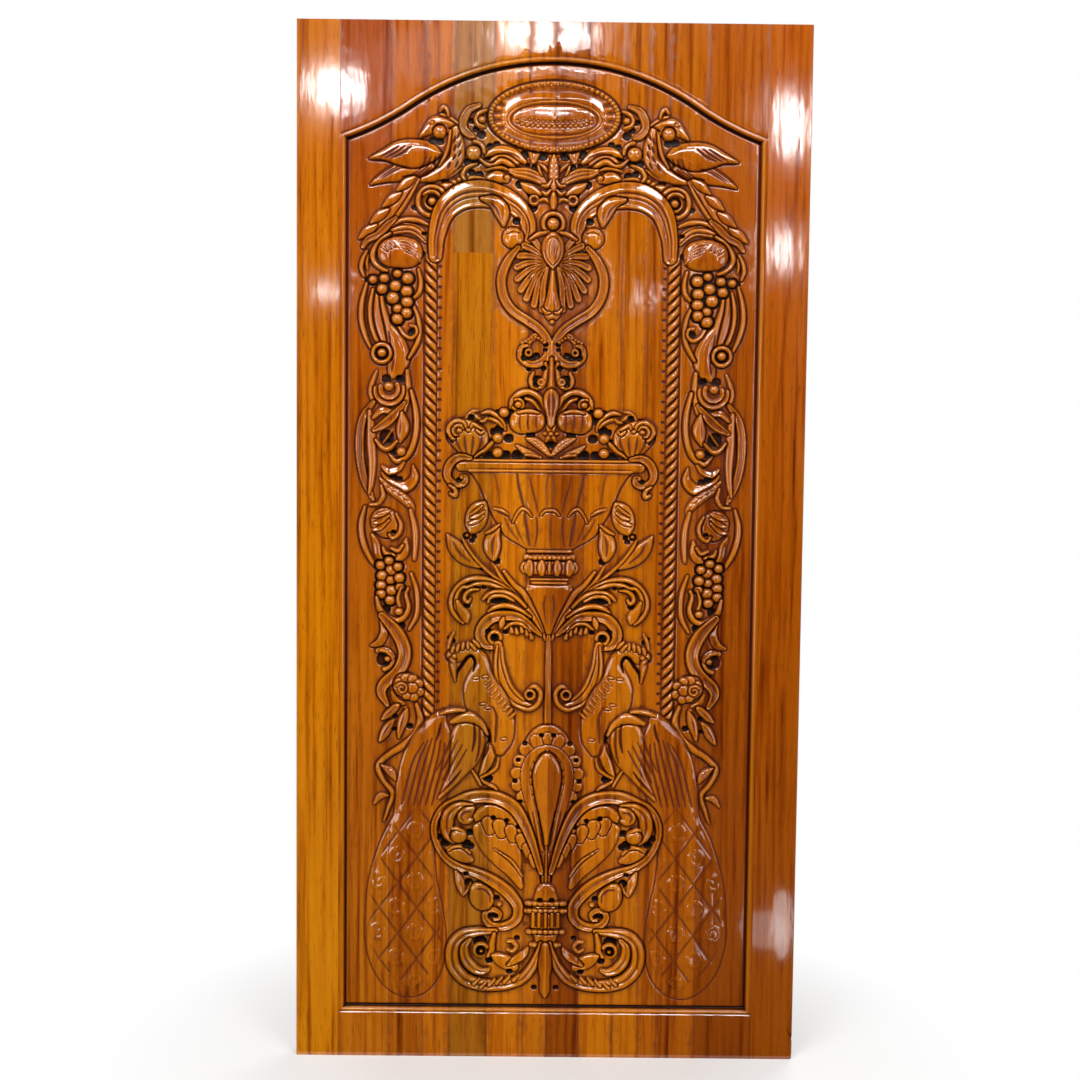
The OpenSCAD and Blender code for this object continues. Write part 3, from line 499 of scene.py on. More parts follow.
lay(lipped(-1), 9.5, (272, 1190, 2), (269, 1166, 9), (284, 1149, 11), (305, 1150, 9), (322, 1162, 5),
    (333, 1176, 2), sink=2.5)
lay(leaf, 8.5, (336, 1164, 3), (318, 1144, 8), (296, 1130, 10), (277, 1112, 8), (270, 1094, 2))
lay(rounded, 8, (334, 1150, 3), (330, 1130, 5), (340, 1114, 4), (356, 1112, 3))
lay(rounded, 8.5, (366, 1108, 3), (373, 1080, 5.5), (373, 1055, 6), (367, 1030, 6), (357, 1008, 5),
    (342, 984, 3), sink=3)
lay(rounded, 7.5, (276, 1102, 4), (268, 1070, 6), (266, 1040, 6), (268, 1005, 4))
lay(broad, 9, (328, 1079, 27), (322, 1073, 27), ditch=4, sink=3)
for petal in range(3):
    lay(lipped(1), 3.5, (350, 1062 + 13 * petal, 2), (336, 1066 + 13 * petal, 5),
        (318, 1082 + 9 * petal, 3), ditch=2, sink=0, base=7)
lay(rounded, 10, (304, 1094, 2.5), (295, 1074, 4.5), (298, 1056, 4.5), (311, 1046, 4), (318, 1054, 3))
drill(3, (309, 1059, 4))
lay(lipped(-1), 8.5, (352, 1052, 3), (344, 1036, 7), (340, 1014, 7), (332, 1002, 3))
lay(broad, 8.5, (284, 1044, 3), (289, 1020, 11), (300, 1004, 7))
lay(rounded, 10, (330, 1027, 3), (324, 1016, 5), (308, 1012, 4))
lay(rounded, 9.5, (314, 1026, 3), (300, 1021, 4.5), (291, 1032, 3.5))
bunch(grapes_low)
lay(rounded, 7.5, (274, 976, 3), (264, 945, 5), (261, 915, 5), (264, 890, 5), (278, 864, 3), sink=2.5)
drill(3, (324, 904, 9))
lay(rounded, 9, (342, 928, 4), (336, 904, 6), (322, 889, 6), (304, 882, 6), (288, 889, 6), (279, 908, 5),
    (284, 934, 4), (280, 946, 3), sink=3)
lay(rounded, 8.5, (294, 948, 2.5), (300, 926, 4), (296, 909, 4))
boss(298, 900, 8, 9.5)
drill(3, (292, 872, 7))
lay(lipped(1), 8.5, (333, 886, 3), (327, 858, 8), (336, 838, 8), (352, 831, 3), sink=2.5)
lay(hollow, 10, (332, 892, 7), (306, 864, 12), (291, 838, 13), (286, 815, 13), (292, 792, 13),
    (309, 771, 12), (327, 754, 11), (332, 737, 9), (320, 713, 4), sink=3)
ring(rounded, 9, 330, 804, 20, 5, 60, 260, sink=3)
drill(3, (328, 804, 14))
lay(rounded, 9, (334, 823, 4), (320, 819, 4.5), (311, 806, 4), ditch=2)
boss(320, 805, 6, 9)
lay(broad, 7, (284, 753, 25), (274, 747, 25), ditch=4, sink=3)
for petal_x, petal_z, petal_r in (
        (297, 760, 8), (284, 768, 9), (270, 765, 9), (258, 756, 9), (256, 740, 9), (268, 730, 9),
        (282, 732, 8)):
    boss(petal_x, petal_z, petal_r, 5, ditch=2, sink=0, base=4.5)
boss(270, 748, 11, 5, ditch=2, sink=0, base=5.5)
lay(rounded, 9.5, *coil(291, 746, 12, 3, 30, 480, 4), ditch=2, sink=0)
lay(lipped(-1), 9, (312, 738, 3), (303, 722, 6), (288, 715, 4))
boss(284, 707, 4, 9)
lay(broad, 9, (331, 683, 2), (318, 695, 8), (304, 708, 7), (297, 714, 2), sink=2.5)
lay(broad, 9, (335, 640, 3), (325, 656, 9), (317, 671, 8), (307, 683, 2), sink=2.5)
lay(broad, 9, (297, 646, 2), (294, 664, 7), (288, 684, 9.5), (281, 704, 3), sink=2.5)
score(2.4, (325, 688, 1), (312, 700, 2), (302, 710, 1))
score(2.4, (330, 648, 1), (320, 665, 2), (310, 680, 1))
score(2.4, (295, 654, 1), (290, 678, 2), (284, 698, 1))
drill(5, (305, 690, 5), (307, 664, 4), (275, 670, 6))
lay(rounded, 9, (262, 714, 4), (254, 684, 7), (264, 652, 8), (290, 630, 7), (320, 610, 6), (338, 588, 6),
    (327, 560, 5), (309, 535, 5), (317, 505, 4), (326, 478, 2), sink=2.5)
lay(leaf, 8, (332, 592, 2), (314, 578, 9), (302, 560, 2))
lay(leaf, 7, (318, 530, 2), (334, 528, 7), (346, 512, 2))

# The arch band: a moulded S that springs from the rope columns, meets over the axis and ends in volutes.
# A smooth leaf hangs inside each half, and a ringed gem sits where the two halves meet.


def arch_section(s, t):
    return np.interp(s, [-1, -0.94, -0.6, -0.34, -0.24, -0.14, 0.02, 0.14, 0.26, 0.36, 0.7, 0.92, 1],
                     [0, 0.62, 0.86, 1, 0.9, 0.45, 0.86, 0.82, 0.36, 0.5, 0.42, 0.62, 0])


lay(arch_section, 11, (230, 1600, 13), (228, 1640, 16), (214, 1686, 21), (183, 1714, 25), (142, 1722, 26),
    (101, 1713, 23), (68, 1694, 18), (50, 1668, 15), (50, 1640, 13), (66, 1620, 9), sink=2.5)
drill(5, (72, 1670, 7))
lay(broad, 9.5, (140, 1712, 4), (116, 1706, 12), (101, 1688, 15), (97, 1662, 4), sink=2.5)
score(1.8, (128, 1706, 1), (112, 1692, 2.4), (103, 1672, 1))
boss(78, 1637, 21, 11, sink=3)
lay(rounded, 2, (66, 1648, 2), (78, 1652, 3), (90, 1646, 2), ditch=1.6, sink=0, base=9)
ring(rounded, 9, 0, 1665, 20, 4.5, sink=2.5)
boss(0, 1665, 12, 11, sink=2.5)

# The lyre: two double-ridged scrolls that cross below a ribbed shell and wind up in eyes.
# The shell's ribs are hollow U cuts that droop from a small pointed shield on the axis.
shell_tips = ((40, 1636), (56, 1622), (66, 1602), (70, 1580), (69, 1557), (62, 1536), (51, 1519),
              (36, 1507), (20, 1498))
for tip_x, tip_z in shell_tips:
    root_x, root_z = 9 + 0.08 * tip_x, 1590 - 0.12 * (1590 - tip_z)
    lay(hollow, 9, (root_x, root_z, 3), ((root_x + tip_x) / 2 + 3, (root_z + tip_z) / 2 + 5, 5.5),
        (tip_x, tip_z, 6.5), ditch=2, sink=2.5)
lay(broad, 8, (0, 1578, 3), (0, 1530, 10), (0, 1496, 17), (0, 1480, 5), sink=2)
lay(rounded, 2.4, (4, 1492, 2), (12, 1492, 3), (19, 1500, 2), base=6, sink=0)
boss(0, 1474, 5, 9)
lay(broad, 8, (0, 1640, 10), (0, 1622, 22), (0, 1604, 19), (0, 1578, 2), sink=2.5)
lay(hollow, 3.4, (0, 1634, 5), (0, 1620, 15), (0, 1602, 12), (0, 1586, 2), ditch=1.8, sink=0, base=6)
lay(rounded, 8.5, (14, 1648, 3), (30, 1644, 5), (46, 1634, 3))
lay(rounded, 9, (20, 1452, 3), (34, 1446, 6), (44, 1436, 5), (46, 1424, 2))
lay(hollow, 10.5, (68, 1618, 5), (88, 1592, 8), (100, 1560, 9), (96, 1524, 9), (78, 1496, 9), (48, 1476, 9),
    (22, 1457, 8.5), (7, 1432, 8.5), (9, 1408, 8), (26, 1393, 7.5), (48, 1393, 6.5), (62, 1406, 5.5),
    (60, 1424, 4), (49, 1428, 3), sink=2.5)
drill(5, (48, 1413, 10), (53, 1405, 7), (38, 1404, 6), (30, 1409, 6), (12, 1430, 4.5), (13, 1420, 4))
ring(rounded, 9.5, 46, 1414, 5.5, 2.6, ditch=1, sink=0)
beads(3.2, 9, 7, (58, 1433, 1), (32, 1444, 1), (14, 1434, 1))
lay(rounded, 9, (12, 1394, 3), (10, 1375, 6), (18, 1352, 6), (34, 1345, 5), (41, 1360, 5), (36, 1375, 3),
    sink=2.5)
drill(5, (28, 1362, 8), (30, 1352, 6), (16, 1384, 5), (45, 1382, 4))
ring(rounded, 9.5, 20, 1356, 5.5, 3, ditch=1, sink=0)
lay(ridged, 9, (0, 1402, 5), (0, 1370, 7), (0, 1345, 8), (0, 1322, 3))

# The fruit: a heap over the urn with a bulb, egg-shaped fruits, ribbed pomegranates, berries and leaves.
# Deep drilled gaps between the fruits make them read as separate, round things.
drill(5, (72, 1298, 10), (83, 1283, 9), (103, 1262, 9), (83, 1246, 9), (66, 1212, 11), (88, 1213, 9),
      (40, 1253, 8), (4, 1234, 7), (54, 1320, 7), (113, 1259, 7), (117, 1241, 4), (120, 1212, 8),
      (129, 1208, 5), (105, 1297, 5), (95, 1208, 6))
lay(broad, 10, (158, 1243, 35), (176, 1254, 30), sink=3)
for fold in (
        ((166, 1262, 2.5), (171, 1274, 4), (184, 1279, 4.5), (197, 1272, 4.5), (202, 1259, 4.5),
         (196, 1246, 4), (189, 1242, 2)),
        ((172, 1263, 2), (178, 1270, 3.5), (187, 1269, 3.5), (193, 1261, 3.5),
         (190, 1252, 3), (183, 1250, 2)),
        ((132, 1262, 2), (143, 1267, 3.5), (153, 1273, 3.5), (158, 1266, 2.5)),
        ((131, 1260, 2), (138, 1255, 3.5), (146, 1261, 3))):
    lay(rounded, 3.8, *fold, ditch=2.5, sink=0, base=7.2)
boss(180, 1260, 5, 4, ditch=2, sink=0, base=7.5)
boss(163, 1261, 4, 3.5, ditch=2, sink=0, base=7.5)
for rib_x in (140, 154, 168, 182):
    score(2, (160 + (rib_x - 160) * 1.2, 1248, 1), (160 + (rib_x - 160) * 1.1, 1234, 2.6),
          (160 + (rib_x - 160) * 0.6, 1214, 1))
score(8, (205, 1254, 1), (202, 1245, 4), (196, 1238, 4), (192, 1236, 1))
lay(rounded, 9.5, (90, 1262, 2), (94, 1276, 3.5), (106, 1289, 4.5), (122, 1297, 4.5), (137, 1294, 2),
    sink=2.5)
lay(rounded, 9, (95, 1267, 2), (103, 1276, 4), (116, 1283, 4), (128, 1284, 2), ditch=2, sink=2.5)
lay(rounded, 7.5, (144, 1299, 2), (153, 1298, 3.5), (162, 1292, 3.5), (168, 1284, 2), ditch=2)
lay(rounded, 9.5, (139, 1282, 2), (148, 1288, 4.5), (156, 1293, 2), ditch=2)
lay(rounded, 9, (126, 1286, 2), (131, 1280, 3.5), (140, 1278, 2), ditch=2)
drill(5, (157, 1287, 6))
lay(rounded, 11, (113, 1240, 2.5), (119, 1233, 4.5), (130, 1222, 4), (140, 1216, 3.5), (150, 1208, 2),
    ditch=3, sink=3)
lay(rounded, 9.5, (8, 1296, 3), (22, 1324, 5.5), (42, 1337, 6), (62, 1334, 6), (77, 1320, 5), (80, 1306, 3),
    sink=2.5)
lay(rounded, 8.5, (22, 1300, 2.5), (36, 1318, 4), (50, 1324, 3), ditch=2)
ring(rounded, 9, 66, 1312, 11, 3, 60, 330, ditch=2, sink=2)
boss(65, 1312, 7, 9.5, ditch=2)
lay(broad, 10.5, (34, 1280, 22), (58, 1279, 24), sink=3)
lay(rounded, 2, (24, 1296, 2), (44, 1300, 4), (66, 1296, 2), ditch=2, sink=0, base=9)
for rib_x in (30, 46, 62):
    score(1.8, (rib_x - 3, 1260, 1), (rib_x, 1274, 2), (rib_x - 1, 1292, 1))
for berry_x, berry_z, berry_r in ((93, 1296, 9.5), (105, 1246, 9.5), (105, 1217, 9.5)):
    boss(berry_x, berry_z, berry_r, 11, sink=3)
lay(broad, 10, (0, 1262, 7), (0, 1290, 9), (0, 1322, 16), (0, 1340, 5), sink=2.5)
score(3, (3, 1334, 1), (5, 1318, 2.4), (3, 1290, 1))
for petal_x, petal_z in ((16, 1256), (9, 1240), (8, 1270)):
    lay(ridged, 9.5, (1, 1255, 4), ((1 + petal_x) / 2, (1255 + petal_z) / 2, 5), (petal_x, petal_z, 1.5),
        ditch=2, sink=2.5)
boss(0, 1255, 5, 10.5, ditch=1.6)
lay(leaf, 9, (3, 1214, 4), (17, 1229, 8), (32, 1240, 8), (48, 1246, 2), sink=2.5)
lay(leaf, 9, (20, 1208, 3), (40, 1215, 7), (54, 1222, 6), (68, 1232, 2), sink=2.5)
lay(rounded, 9, (24, 1210, 2), (36, 1213, 3.4), (50, 1213, 2), ditch=1.6, sink=0)

# The urn: a wide cup with a flat rim, scroll handles and lotus petals, on a ringed neck and a ribbed knop.
# The cup is only a little raised: the long petals are faint lines, and the short ones end in bright lips.
cup_foot, cup_head, cup_swell, cup_base = 1022, 1180, 5.5, 0.5
urn_moat, cup_moat_w, cup_painted_shade_mm, cup_shade_reach_mm = 1.5, 4, 1.3, 5
cup_half = np.interp(up, [cup_foot, 1027, 1036, 1044, 1054, 1066, 1080, 1095, 1115, 1134, 1152, 1168, 1178],
                     [40, 46, 61, 76, 90, 98, 106, 115, 126, 132, 140, 150, 160])
on_cup = (across < cup_half + cup_moat_w) & (up > cup_foot) & (up < cup_head)
cup_s = np.clip(across / cup_half, 0, 1)
cup_h = np.where(across < cup_half, cup_swell * np.sqrt(1 - cup_s ** 4) + cup_base, -urn_moat)
relief[on_cup] = cup_h[on_cup]
# Painted shade along the cup's outline.
painted_shade[on_cup] = (cup_painted_shade_mm * np.clip(1 - np.abs(across - cup_half) / cup_shade_reach_mm, 0, 1))[on_cup]
score(1.7, (66, 1178, 1.5), (62, 1150, 2.6), (55, 1122, 2.6), (52, 1108, 1.4))
score(1.1, (40, 1166, 1), (34, 1140, 2.4), (28, 1118, 2), (24, 1100, 1))
score(0.7, (4, 1178, 1.5), (8, 1150, 2), (6, 1112, 1.2))
score(0.8, (112, 1178, 1), (104, 1150, 2), (100, 1116, 1))
score(1.7, (50, 1098, 2), (48, 1080, 3), (44, 1060, 3), (40, 1034, 1.5))
score(1.1, (27, 1090, 1.2), (25, 1062, 2.2), (29, 1032, 1.2))
score(1.0, (70, 1080, 1.2), (62, 1060, 2.2), (50, 1036, 1.2))
score(1.1, (90, 1088, 1), (78, 1064, 2.2), (64, 1046, 1.2))
score(0.8, (0, 1098, 1), (1, 1066, 2), (0, 1030, 1))
score(1.5, (76, 1080, 1), (84, 1092, 2), (101, 1099, 1.2))
for tip in (
        ((36, 1092, 1.6), (45, 1103, 3), (55, 1107, 3.2), (63, 1100, 3), (70, 1088, 2.4), (74, 1078, 1.4)),
        ((82, 1095, 1.6), (95, 1103, 3), (110, 1107, 2.4)),
        ((-4, 1105, 3), (10, 1103, 3), (19, 1094, 1.8))):
    lay(rounded, 4, *tip, ditch=2.5, sink=0, base=5)
lay(broad, 7, (-8, 1192, 12), (176, 1192, 12), ditch=3)
lay(rounded, 3.4, (-4, 1202, 2.8), (184, 1202, 2.8), ditch=1.5, sink=0, base=6)
lay(rounded, 3.4, (-4, 1181.5, 2.6), (160, 1181.5, 2.6), ditch=1.5, sink=0, base=6)
lay(hollow, 10, (158, 1206, 4), (178, 1208, 7), (194, 1199, 8), (203, 1183, 8), (203, 1168, 7),
    (194, 1157, 6.5), (181, 1153, 6), (169, 1158, 5.5), (168, 1168, 4.5), (176, 1169, 3.5), sink=3)
drill(5, (181, 1162, 5))
boss(175, 1167, 3.5, 9, ditch=1.5)
lay(rounded, 8.5, (199, 1152, 3), (188, 1143, 4.5), (188, 1132, 5), (197, 1135, 3.5), sink=3)
lay(rounded, 7, (-6, 1023, 3.5), (42, 1023, 3.5), ditch=2)
lay(broad, 6, (-6, 1011, 6), (46, 1011, 6), ditch=2)
beads(4.6, 4, 9.5, (0, 1010, 1), (46, 1010, 1), base=5.5)
lay(broad, 7, (-10, 990, 14), (45, 990, 13))
for gadroon, gadroon_half in ((0, 4), (16, 9), (41, 10)):
    lay(rounded, 6, (gadroon * 0.96, 1001, gadroon_half * 0.6), (gadroon, 990, gadroon_half),
        (gadroon * 0.94, 979, gadroon_half * 0.6), ditch=2.5, sink=0, base=4.5)
lay(rounded, 6, (-6, 967, 3), (36, 967, 3), ditch=2, sink=2)
lay(rounded, 8, (-6, 960, 3.5), (33, 960, 3.5), ditch=2, sink=2)
foot_low, foot_high, foot_swell, foot_base, foot_moat_w = 850, 956, 7, 1, 2.5
foot_half = np.interp(up, [foot_low, 900, 930, 945, foot_high], [3, 24, 42, 48, 44])
on_foot = (across < foot_half + foot_moat_w) & (up > foot_low) & (up < foot_high)
foot_s = np.clip(across / foot_half, 0, 1)
foot_h = np.where(across < foot_half, foot_swell * np.sqrt(1 - foot_s ** 2) + foot_base, -urn_moat)
relief[on_foot] = foot_h[on_foot]
score(1.2, (7, 935, 1), (10, 915, 2.4), (6, 880, 1))

# The branches: stems with rosebuds, lance leaves and acanthus that fan out from the foot of the urn.
# Each acanthus is two or three ridges side by side, which roll over at the tip with a dark hollow under it.
lay(rounded, 7, (6, 846, 3), (20, 880, 5), (34, 908, 6), (50, 938, 6), (70, 956, 5), (90, 982, 3), sink=2)
lay(rounded, 7.5, (14, 860, 3), (30, 890, 5), (52, 918, 5.5), (70, 938, 5.5), (86, 956, 5), (98, 974, 4),
    (108, 992, 2.5), ditch=2, sink=2)
drill(5, (105, 1003, 7), (165, 1052, 7), (150, 1051, 5), (154, 1043, 5), (163, 914, 6), (115, 907, 4),
      (100, 924, 7), (88, 924, 6), (110, 924, 6), (196, 848, 5), (86, 862, 5), (133, 988, 5))
boss(164, 1053, 3, 7, ditch=1, sink=0)
lay(broad, 9, (154, 1064, 8), (148, 1080, 20), (142, 1098, 20), (132, 1115, 7), sink=2.5)
for petal in range(3):
    lay(lipped(1), 3.4, (162 - 4 * petal, 1076 + 11 * petal, 2), (147 - 2 * petal, 1081 + 11 * petal, 5),
        (131, 1092 + 9 * petal, 2.5), ditch=2, sink=0, base=7)
lay(rounded, 10.5, (158, 1094, 2.5), (146, 1102, 4), (134, 1112, 3), ditch=1.6, sink=0)
lay(broad, 8.5, (203, 1054, 2), (187, 1030, 14), (170, 1013, 16), (152, 1000, 10), (136, 990, 2), sink=2)
score(2.2, (192, 1042, 1), (178, 1018, 2.4), (158, 1001, 1))
lay(rounded, 9.5, (172, 1046, 2), (165, 1032, 3.4), (151, 1012, 3.4), (134, 993, 3.4), (116, 977, 3.4),
    (98, 963, 3), (82, 950, 2), ditch=2, sink=0.5)
lay(broad, 9, (100, 1068, 2), (111, 1050, 13), (114, 1032, 17), (112, 1014, 10), (110, 1004, 2), sink=2.5)
score(2, (108, 1056, 1), (113, 1036, 2.6), (112, 1010, 1))
lay(rounded, 8, (126, 1058, 2.5), (114, 1064, 4), (100, 1075, 2.5))
lay(rounded, 10, (62, 928, 3), (86, 948, 4.5), (110, 962, 5), (136, 968, 5), (158, 966, 5), (176, 956, 5),
    (189, 940, 5), (195, 920, 5), (191, 902, 5), (181, 888, 4.5), (170, 879, 3), sink=2)
lay(rounded, 10, (68, 934, 3), (92, 947, 4.5), (118, 957, 5), (142, 957, 5), (160, 950, 4.5), (172, 950, 4),
    (183, 934, 4.5), (185, 914, 4.5), (178, 898, 4), (169, 886, 2.5), ditch=2, sink=2)
lay(broad, 8.5, (182, 922, 4), (175, 906, 8), (167, 894, 11), (163, 882, 4), ditch=2, sink=1.5)
drill(4, (146, 950, 4), (130, 951, 4))
lay(rounded, 9, (140, 946, 2), (154, 945, 4), (165, 937, 4.5), (168, 926, 4.5), (161, 920, 4),
    (156, 927, 2.5), sink=2.5)
lay(rounded, 9.5, (46, 912, 3), (66, 931, 4.5), (88, 941, 5), (108, 941, 5), (122, 935, 4.5), (131, 926, 3),
    sink=2)
lay(rounded, 9, (70, 924, 3), (88, 933, 4), (106, 934, 4.5), (117, 929, 4), (121, 920, 2.5), ditch=2,
    sink=2)
lay(rounded, 9, (36, 892, 3), (56, 905, 4.5), (76, 913, 5), (94, 914, 5), (110, 909, 4.5), (120, 902, 2.5),
    sink=2)
lay(hollow, 10.5, (16, 856, 3), (36, 874, 7), (60, 891, 9), (88, 894, 10), (114, 889, 11), (131, 872, 11),
    (136, 852, 10), (126, 836, 8), (110, 832, 7), sink=3)
drill(5, (120, 862, 6))
ring(rounded, 9.5, 107, 850, 11.5, 4, -130, 190, ditch=2, sink=2)
drill(5, (107, 850, 7.5))
lay(broad, 9.5, (90, 890, 3), (93, 880, 6.5), (95, 870, 3), ditch=2, sink=2)
lay(rounded, 9, (88, 868, 2.5), (72, 879, 4), (54, 877, 4), (36, 862, 2.5), ditch=2, sink=1.5)
for comb_x, comb_z in ((73, 862), (63, 860), (53, 863), (43, 857), (34, 850)):
    lay(rounded, 9, (comb_x + 2, comb_z + 8, 2.5), (comb_x, comb_z, 5), ditch=2, sink=2)

# The lower lyre: two scrolls that come down from the branches and wind up beside the middle stem.
# Each is a double ridge with a dark band between it and the peacock's neck.
lay(broad, 7, (100, 836, 8), (99, 808, 10), (95, 776, 11), (80, 742, 11), (58, 720, 10), (36, 712, 7),
    sink=2.5)
lay(rounded, 9, (102, 834, 2.5), (105, 800, 4), (103, 770, 4), (95, 750, 4), (85, 733, 4), (72, 720, 4),
    (55, 711, 4.5), (36, 707, 5), (19, 719, 5), (15, 740, 5), (27, 753, 4.5), (40, 746, 3), ditch=2.5,
    sink=2)
lay(rounded, 8.5, (93, 830, 2.5), (90, 800, 3.5), (83, 775, 3.5), (75, 755, 3.5), (62, 738, 3.5),
    (48, 726, 2.5), ditch=2, sink=0)
lay(hollow, 8, (0, 852, 4), (0, 800, 6), (0, 740, 6), (0, 690, 7), (0, 664, 6))
ring(rounded, 8, 36, 736, 9, 3)
drill(3, (36, 736, 4))

# The peacocks: a pair face to face, with hooked necks, folded wings and trains down to the panel's foot.
# The train is one smooth swell under a lattice of two-lobed eyes, and a row of quills edges the breast.
lay(domed, 6.5, (208, 700, 5), (222, 672, 22), (235, 610, 50), (250, 545, 52), (262, 480, 46),
    (280, 420, 55), (288, 350, 68), (285, 290, 77), (281, 230, 80), (275, 180, 62), (268, 140, 12), ditch=5,
    sink=2)
eye_run, eye_climb, first_eye_x, first_eye_z = 38, 52, 297, 302
eye_swell, line_depth, hood_rise, pupil_rise = 1.5, 0.8, 1.2, 1.6
line_share, line_shade_share, line_painted_shade_mm = 0.07, 0.06, 1.1
eye_a = ((across - first_eye_x) / eye_run + (up - first_eye_z) / eye_climb) / 2
eye_b = ((up - first_eye_z) / eye_climb - (across - first_eye_x) / eye_run) / 2
off_a, off_b = eye_a - np.round(eye_a), eye_b - np.round(eye_b)
eye_dx, eye_dz = eye_run * (off_a - off_b), eye_climb * (off_a + off_b)
pupil_x, pupil_z, pupil_half_w, pupil_half_h = -7, -2, 11, 14
pupil = np.hypot((eye_dx - pupil_x) / pupil_half_w, (eye_dz - pupil_z) / pupil_half_h)
hood_x, hood_z, hood_half_w, hood_half_h = 3, 3, 19, 20
hood_ridge_at, hood_ridge_half, hood_end_x, hood_end_slope = 0.7, 0.22, -9, 0.4
hood = np.hypot((eye_dx - hood_x) / hood_half_w, (eye_dz - hood_z) / hood_half_h)
hood_ridge = np.sqrt(np.clip(1 - ((hood - hood_ridge_at) / hood_ridge_half) ** 2, 0, 1))
to_line = np.minimum(0.5 - np.abs(off_a), 0.5 - np.abs(off_b))
eye_h = eye_swell * np.sin(np.pi * to_line) - line_depth * np.clip(1 - to_line / line_share, 0, 1)
eye_h += hood_rise * hood_ridge * (eye_dx > hood_end_x - hood_end_slope * eye_dz)
eye_h += pupil_rise * np.sqrt(np.clip(1 - pupil ** 2, 0, 1))
train_foot, train_head, edge_fade, head_fade = 136, 520, 6, 30
train_z = [140, 180, 230, 290, 350, 420, 480, train_head]
train_half = np.interp(up, train_z, [8, 58, 76, 73, 64, 51, 42, 36])
train_mid = np.interp(up, train_z, [268, 275, 281, 285, 288, 280, 262, 254])
to_edge = train_half - np.abs(across - train_mid)
on_train = (to_edge > 0) & (up > train_foot) & (up < train_head)
train_fade = np.clip(to_edge / edge_fade, 0, 1) * np.clip((train_head - up) / head_fade, 0, 1)
relief[on_train] += (eye_h * train_fade)[on_train]
# Painted shade along the lattice lines of the train.
line_painted_shade = line_painted_shade_mm * np.clip(1 - to_line / line_shade_share, 0, 1)
painted_shade[on_train] += (line_painted_shade * train_fade)[on_train]
for flight in range(6):
    shift = flight * 12 - 30
    score(1.5, (226 + shift * 0.7, 650 - abs(shift) * 0.4, 1), (238 + shift, 600, 2.2),
          (252 + shift, 545, 2.2), (260 + shift, 512, 1))
score(4, (213, 678, 1), (216, 660, 3), (222, 642, 1))
lay(broad, 8, (110, 630, 12), (120, 598, 10), (133, 570, 4), ditch=4, sink=3)
drill(5, (117, 566, 8))
lay(rounded, 7, (97, 608, 2), (102, 588, 3.5), (117, 576, 3.5), (133, 566, 3), (119, 555, 3.5),
    (104, 547, 3), (98, 536, 2), sink=2)
lay(rounded, 6.5, (150, 582, 2), (141, 568, 3.5), (132, 552, 3), sink=3)
lay(domed, 5.5, (196, 812, 9), (178, 814, 14), (156, 824, 11), (137, 812, 12), (131, 792, 15),
    (134, 770, 24), (132, 742, 36), (118, 712, 42), (100, 682, 33), (92, 650, 23), (95, 622, 10), ditch=6,
    sink=2.5)
score(9, (185, 762, 1), (181, 780, 3.5), (171, 795, 4.5), (161, 810, 4.5), (151, 811, 4), (146, 798, 3),
      (150, 782, 1))
lay(ridged, 8.5, (191, 804, 8), (189, 786, 6), (185, 760, 1.5), ditch=3, sink=2)
boss(187, 812, 4.5, 3, ditch=2.2, sink=0, base=7)
score(2.5, (203, 818, 1), (201, 806, 2), (192, 798, 2), (190, 790, 1))
for quill in range(9):
    quill_x, quill_z = 121 - 6.3 * quill, 757 - 8.4 * quill + 0.22 * (quill - 4) ** 2
    lay(rounded, 2.4, (quill_x + 5, quill_z - 5, 1.6), (quill_x - 2, quill_z + 2, 2.6),
        (quill_x - 6, quill_z + 6, 1.2), ditch=1.6, sink=0, base=4)
for dash_x, dash_z in ((144, 768), (126, 771), (130, 716), (120, 708), (88, 646)):
    lay(rounded, 2, (dash_x + 4, dash_z, 2), (dash_x - 4, dash_z + 1, 3), ditch=2, sink=0, base=5)
score(2, (110, 712, 1), (102, 692, 2.6), (103, 664, 2.6), (104, 640, 1))
for crest_x, crest_z, lean in (
        (190, 826, 2), (180, 829, 2), (170, 833, 1), (160, 834, 0), (150, 832, -5), (143, 838, -6)):
    lay(rounded, 9.5, (crest_x + lean, crest_z - 7, 3), (crest_x, crest_z, 5),
        (crest_x - lean, crest_z + 5, 3), ditch=1.6, sink=1)
drill(4, (191, 842, 5))
lay(rounded, 7, (199, 828, 3), (195, 846, 4), (188, 860, 2), ditch=2)
lay(broad, 9.5, (150, 680, 14), (158, 652, 33), (164, 616, 30), (180, 578, 16), (200, 548, 9),
    (217, 524, 2), ditch=2, sink=0)
score(6, (126, 673, 1), (117, 657, 4), (116, 640, 4), (121, 622, 3), (128, 606, 1))
lay(broad, 11, (192, 680, 4), (176, 686, 8), (158, 690, 11), (143, 684, 9), (130, 674, 6), (120, 656, 3),
    ditch=2, sink=0)
score(4, (147, 680, 1), (145, 660, 3), (146, 640, 3), (150, 622, 1))
score(2.6, (136, 668, 1), (135, 640, 2.4), (138, 616, 2), (143, 600, 1))
for flight in range(4):
    score(1.5, (161 + 9 * flight, 626 + 9 * flight, 1), (176 + 8 * flight, 598 + 9 * flight, 2.2),
          (190 + 7 * flight, 574 + 9 * flight, 2.2), (203 + 6 * flight, 552 + 10 * flight, 1))
score(5, (172, 583, 1), (184, 566, 3), (196, 553, 3), (214, 534, 1))
lay(rounded, 10, (214, 696, 3), (200, 701, 5), (182, 704, 5), (166, 703, 3), ditch=2, sink=0.5)

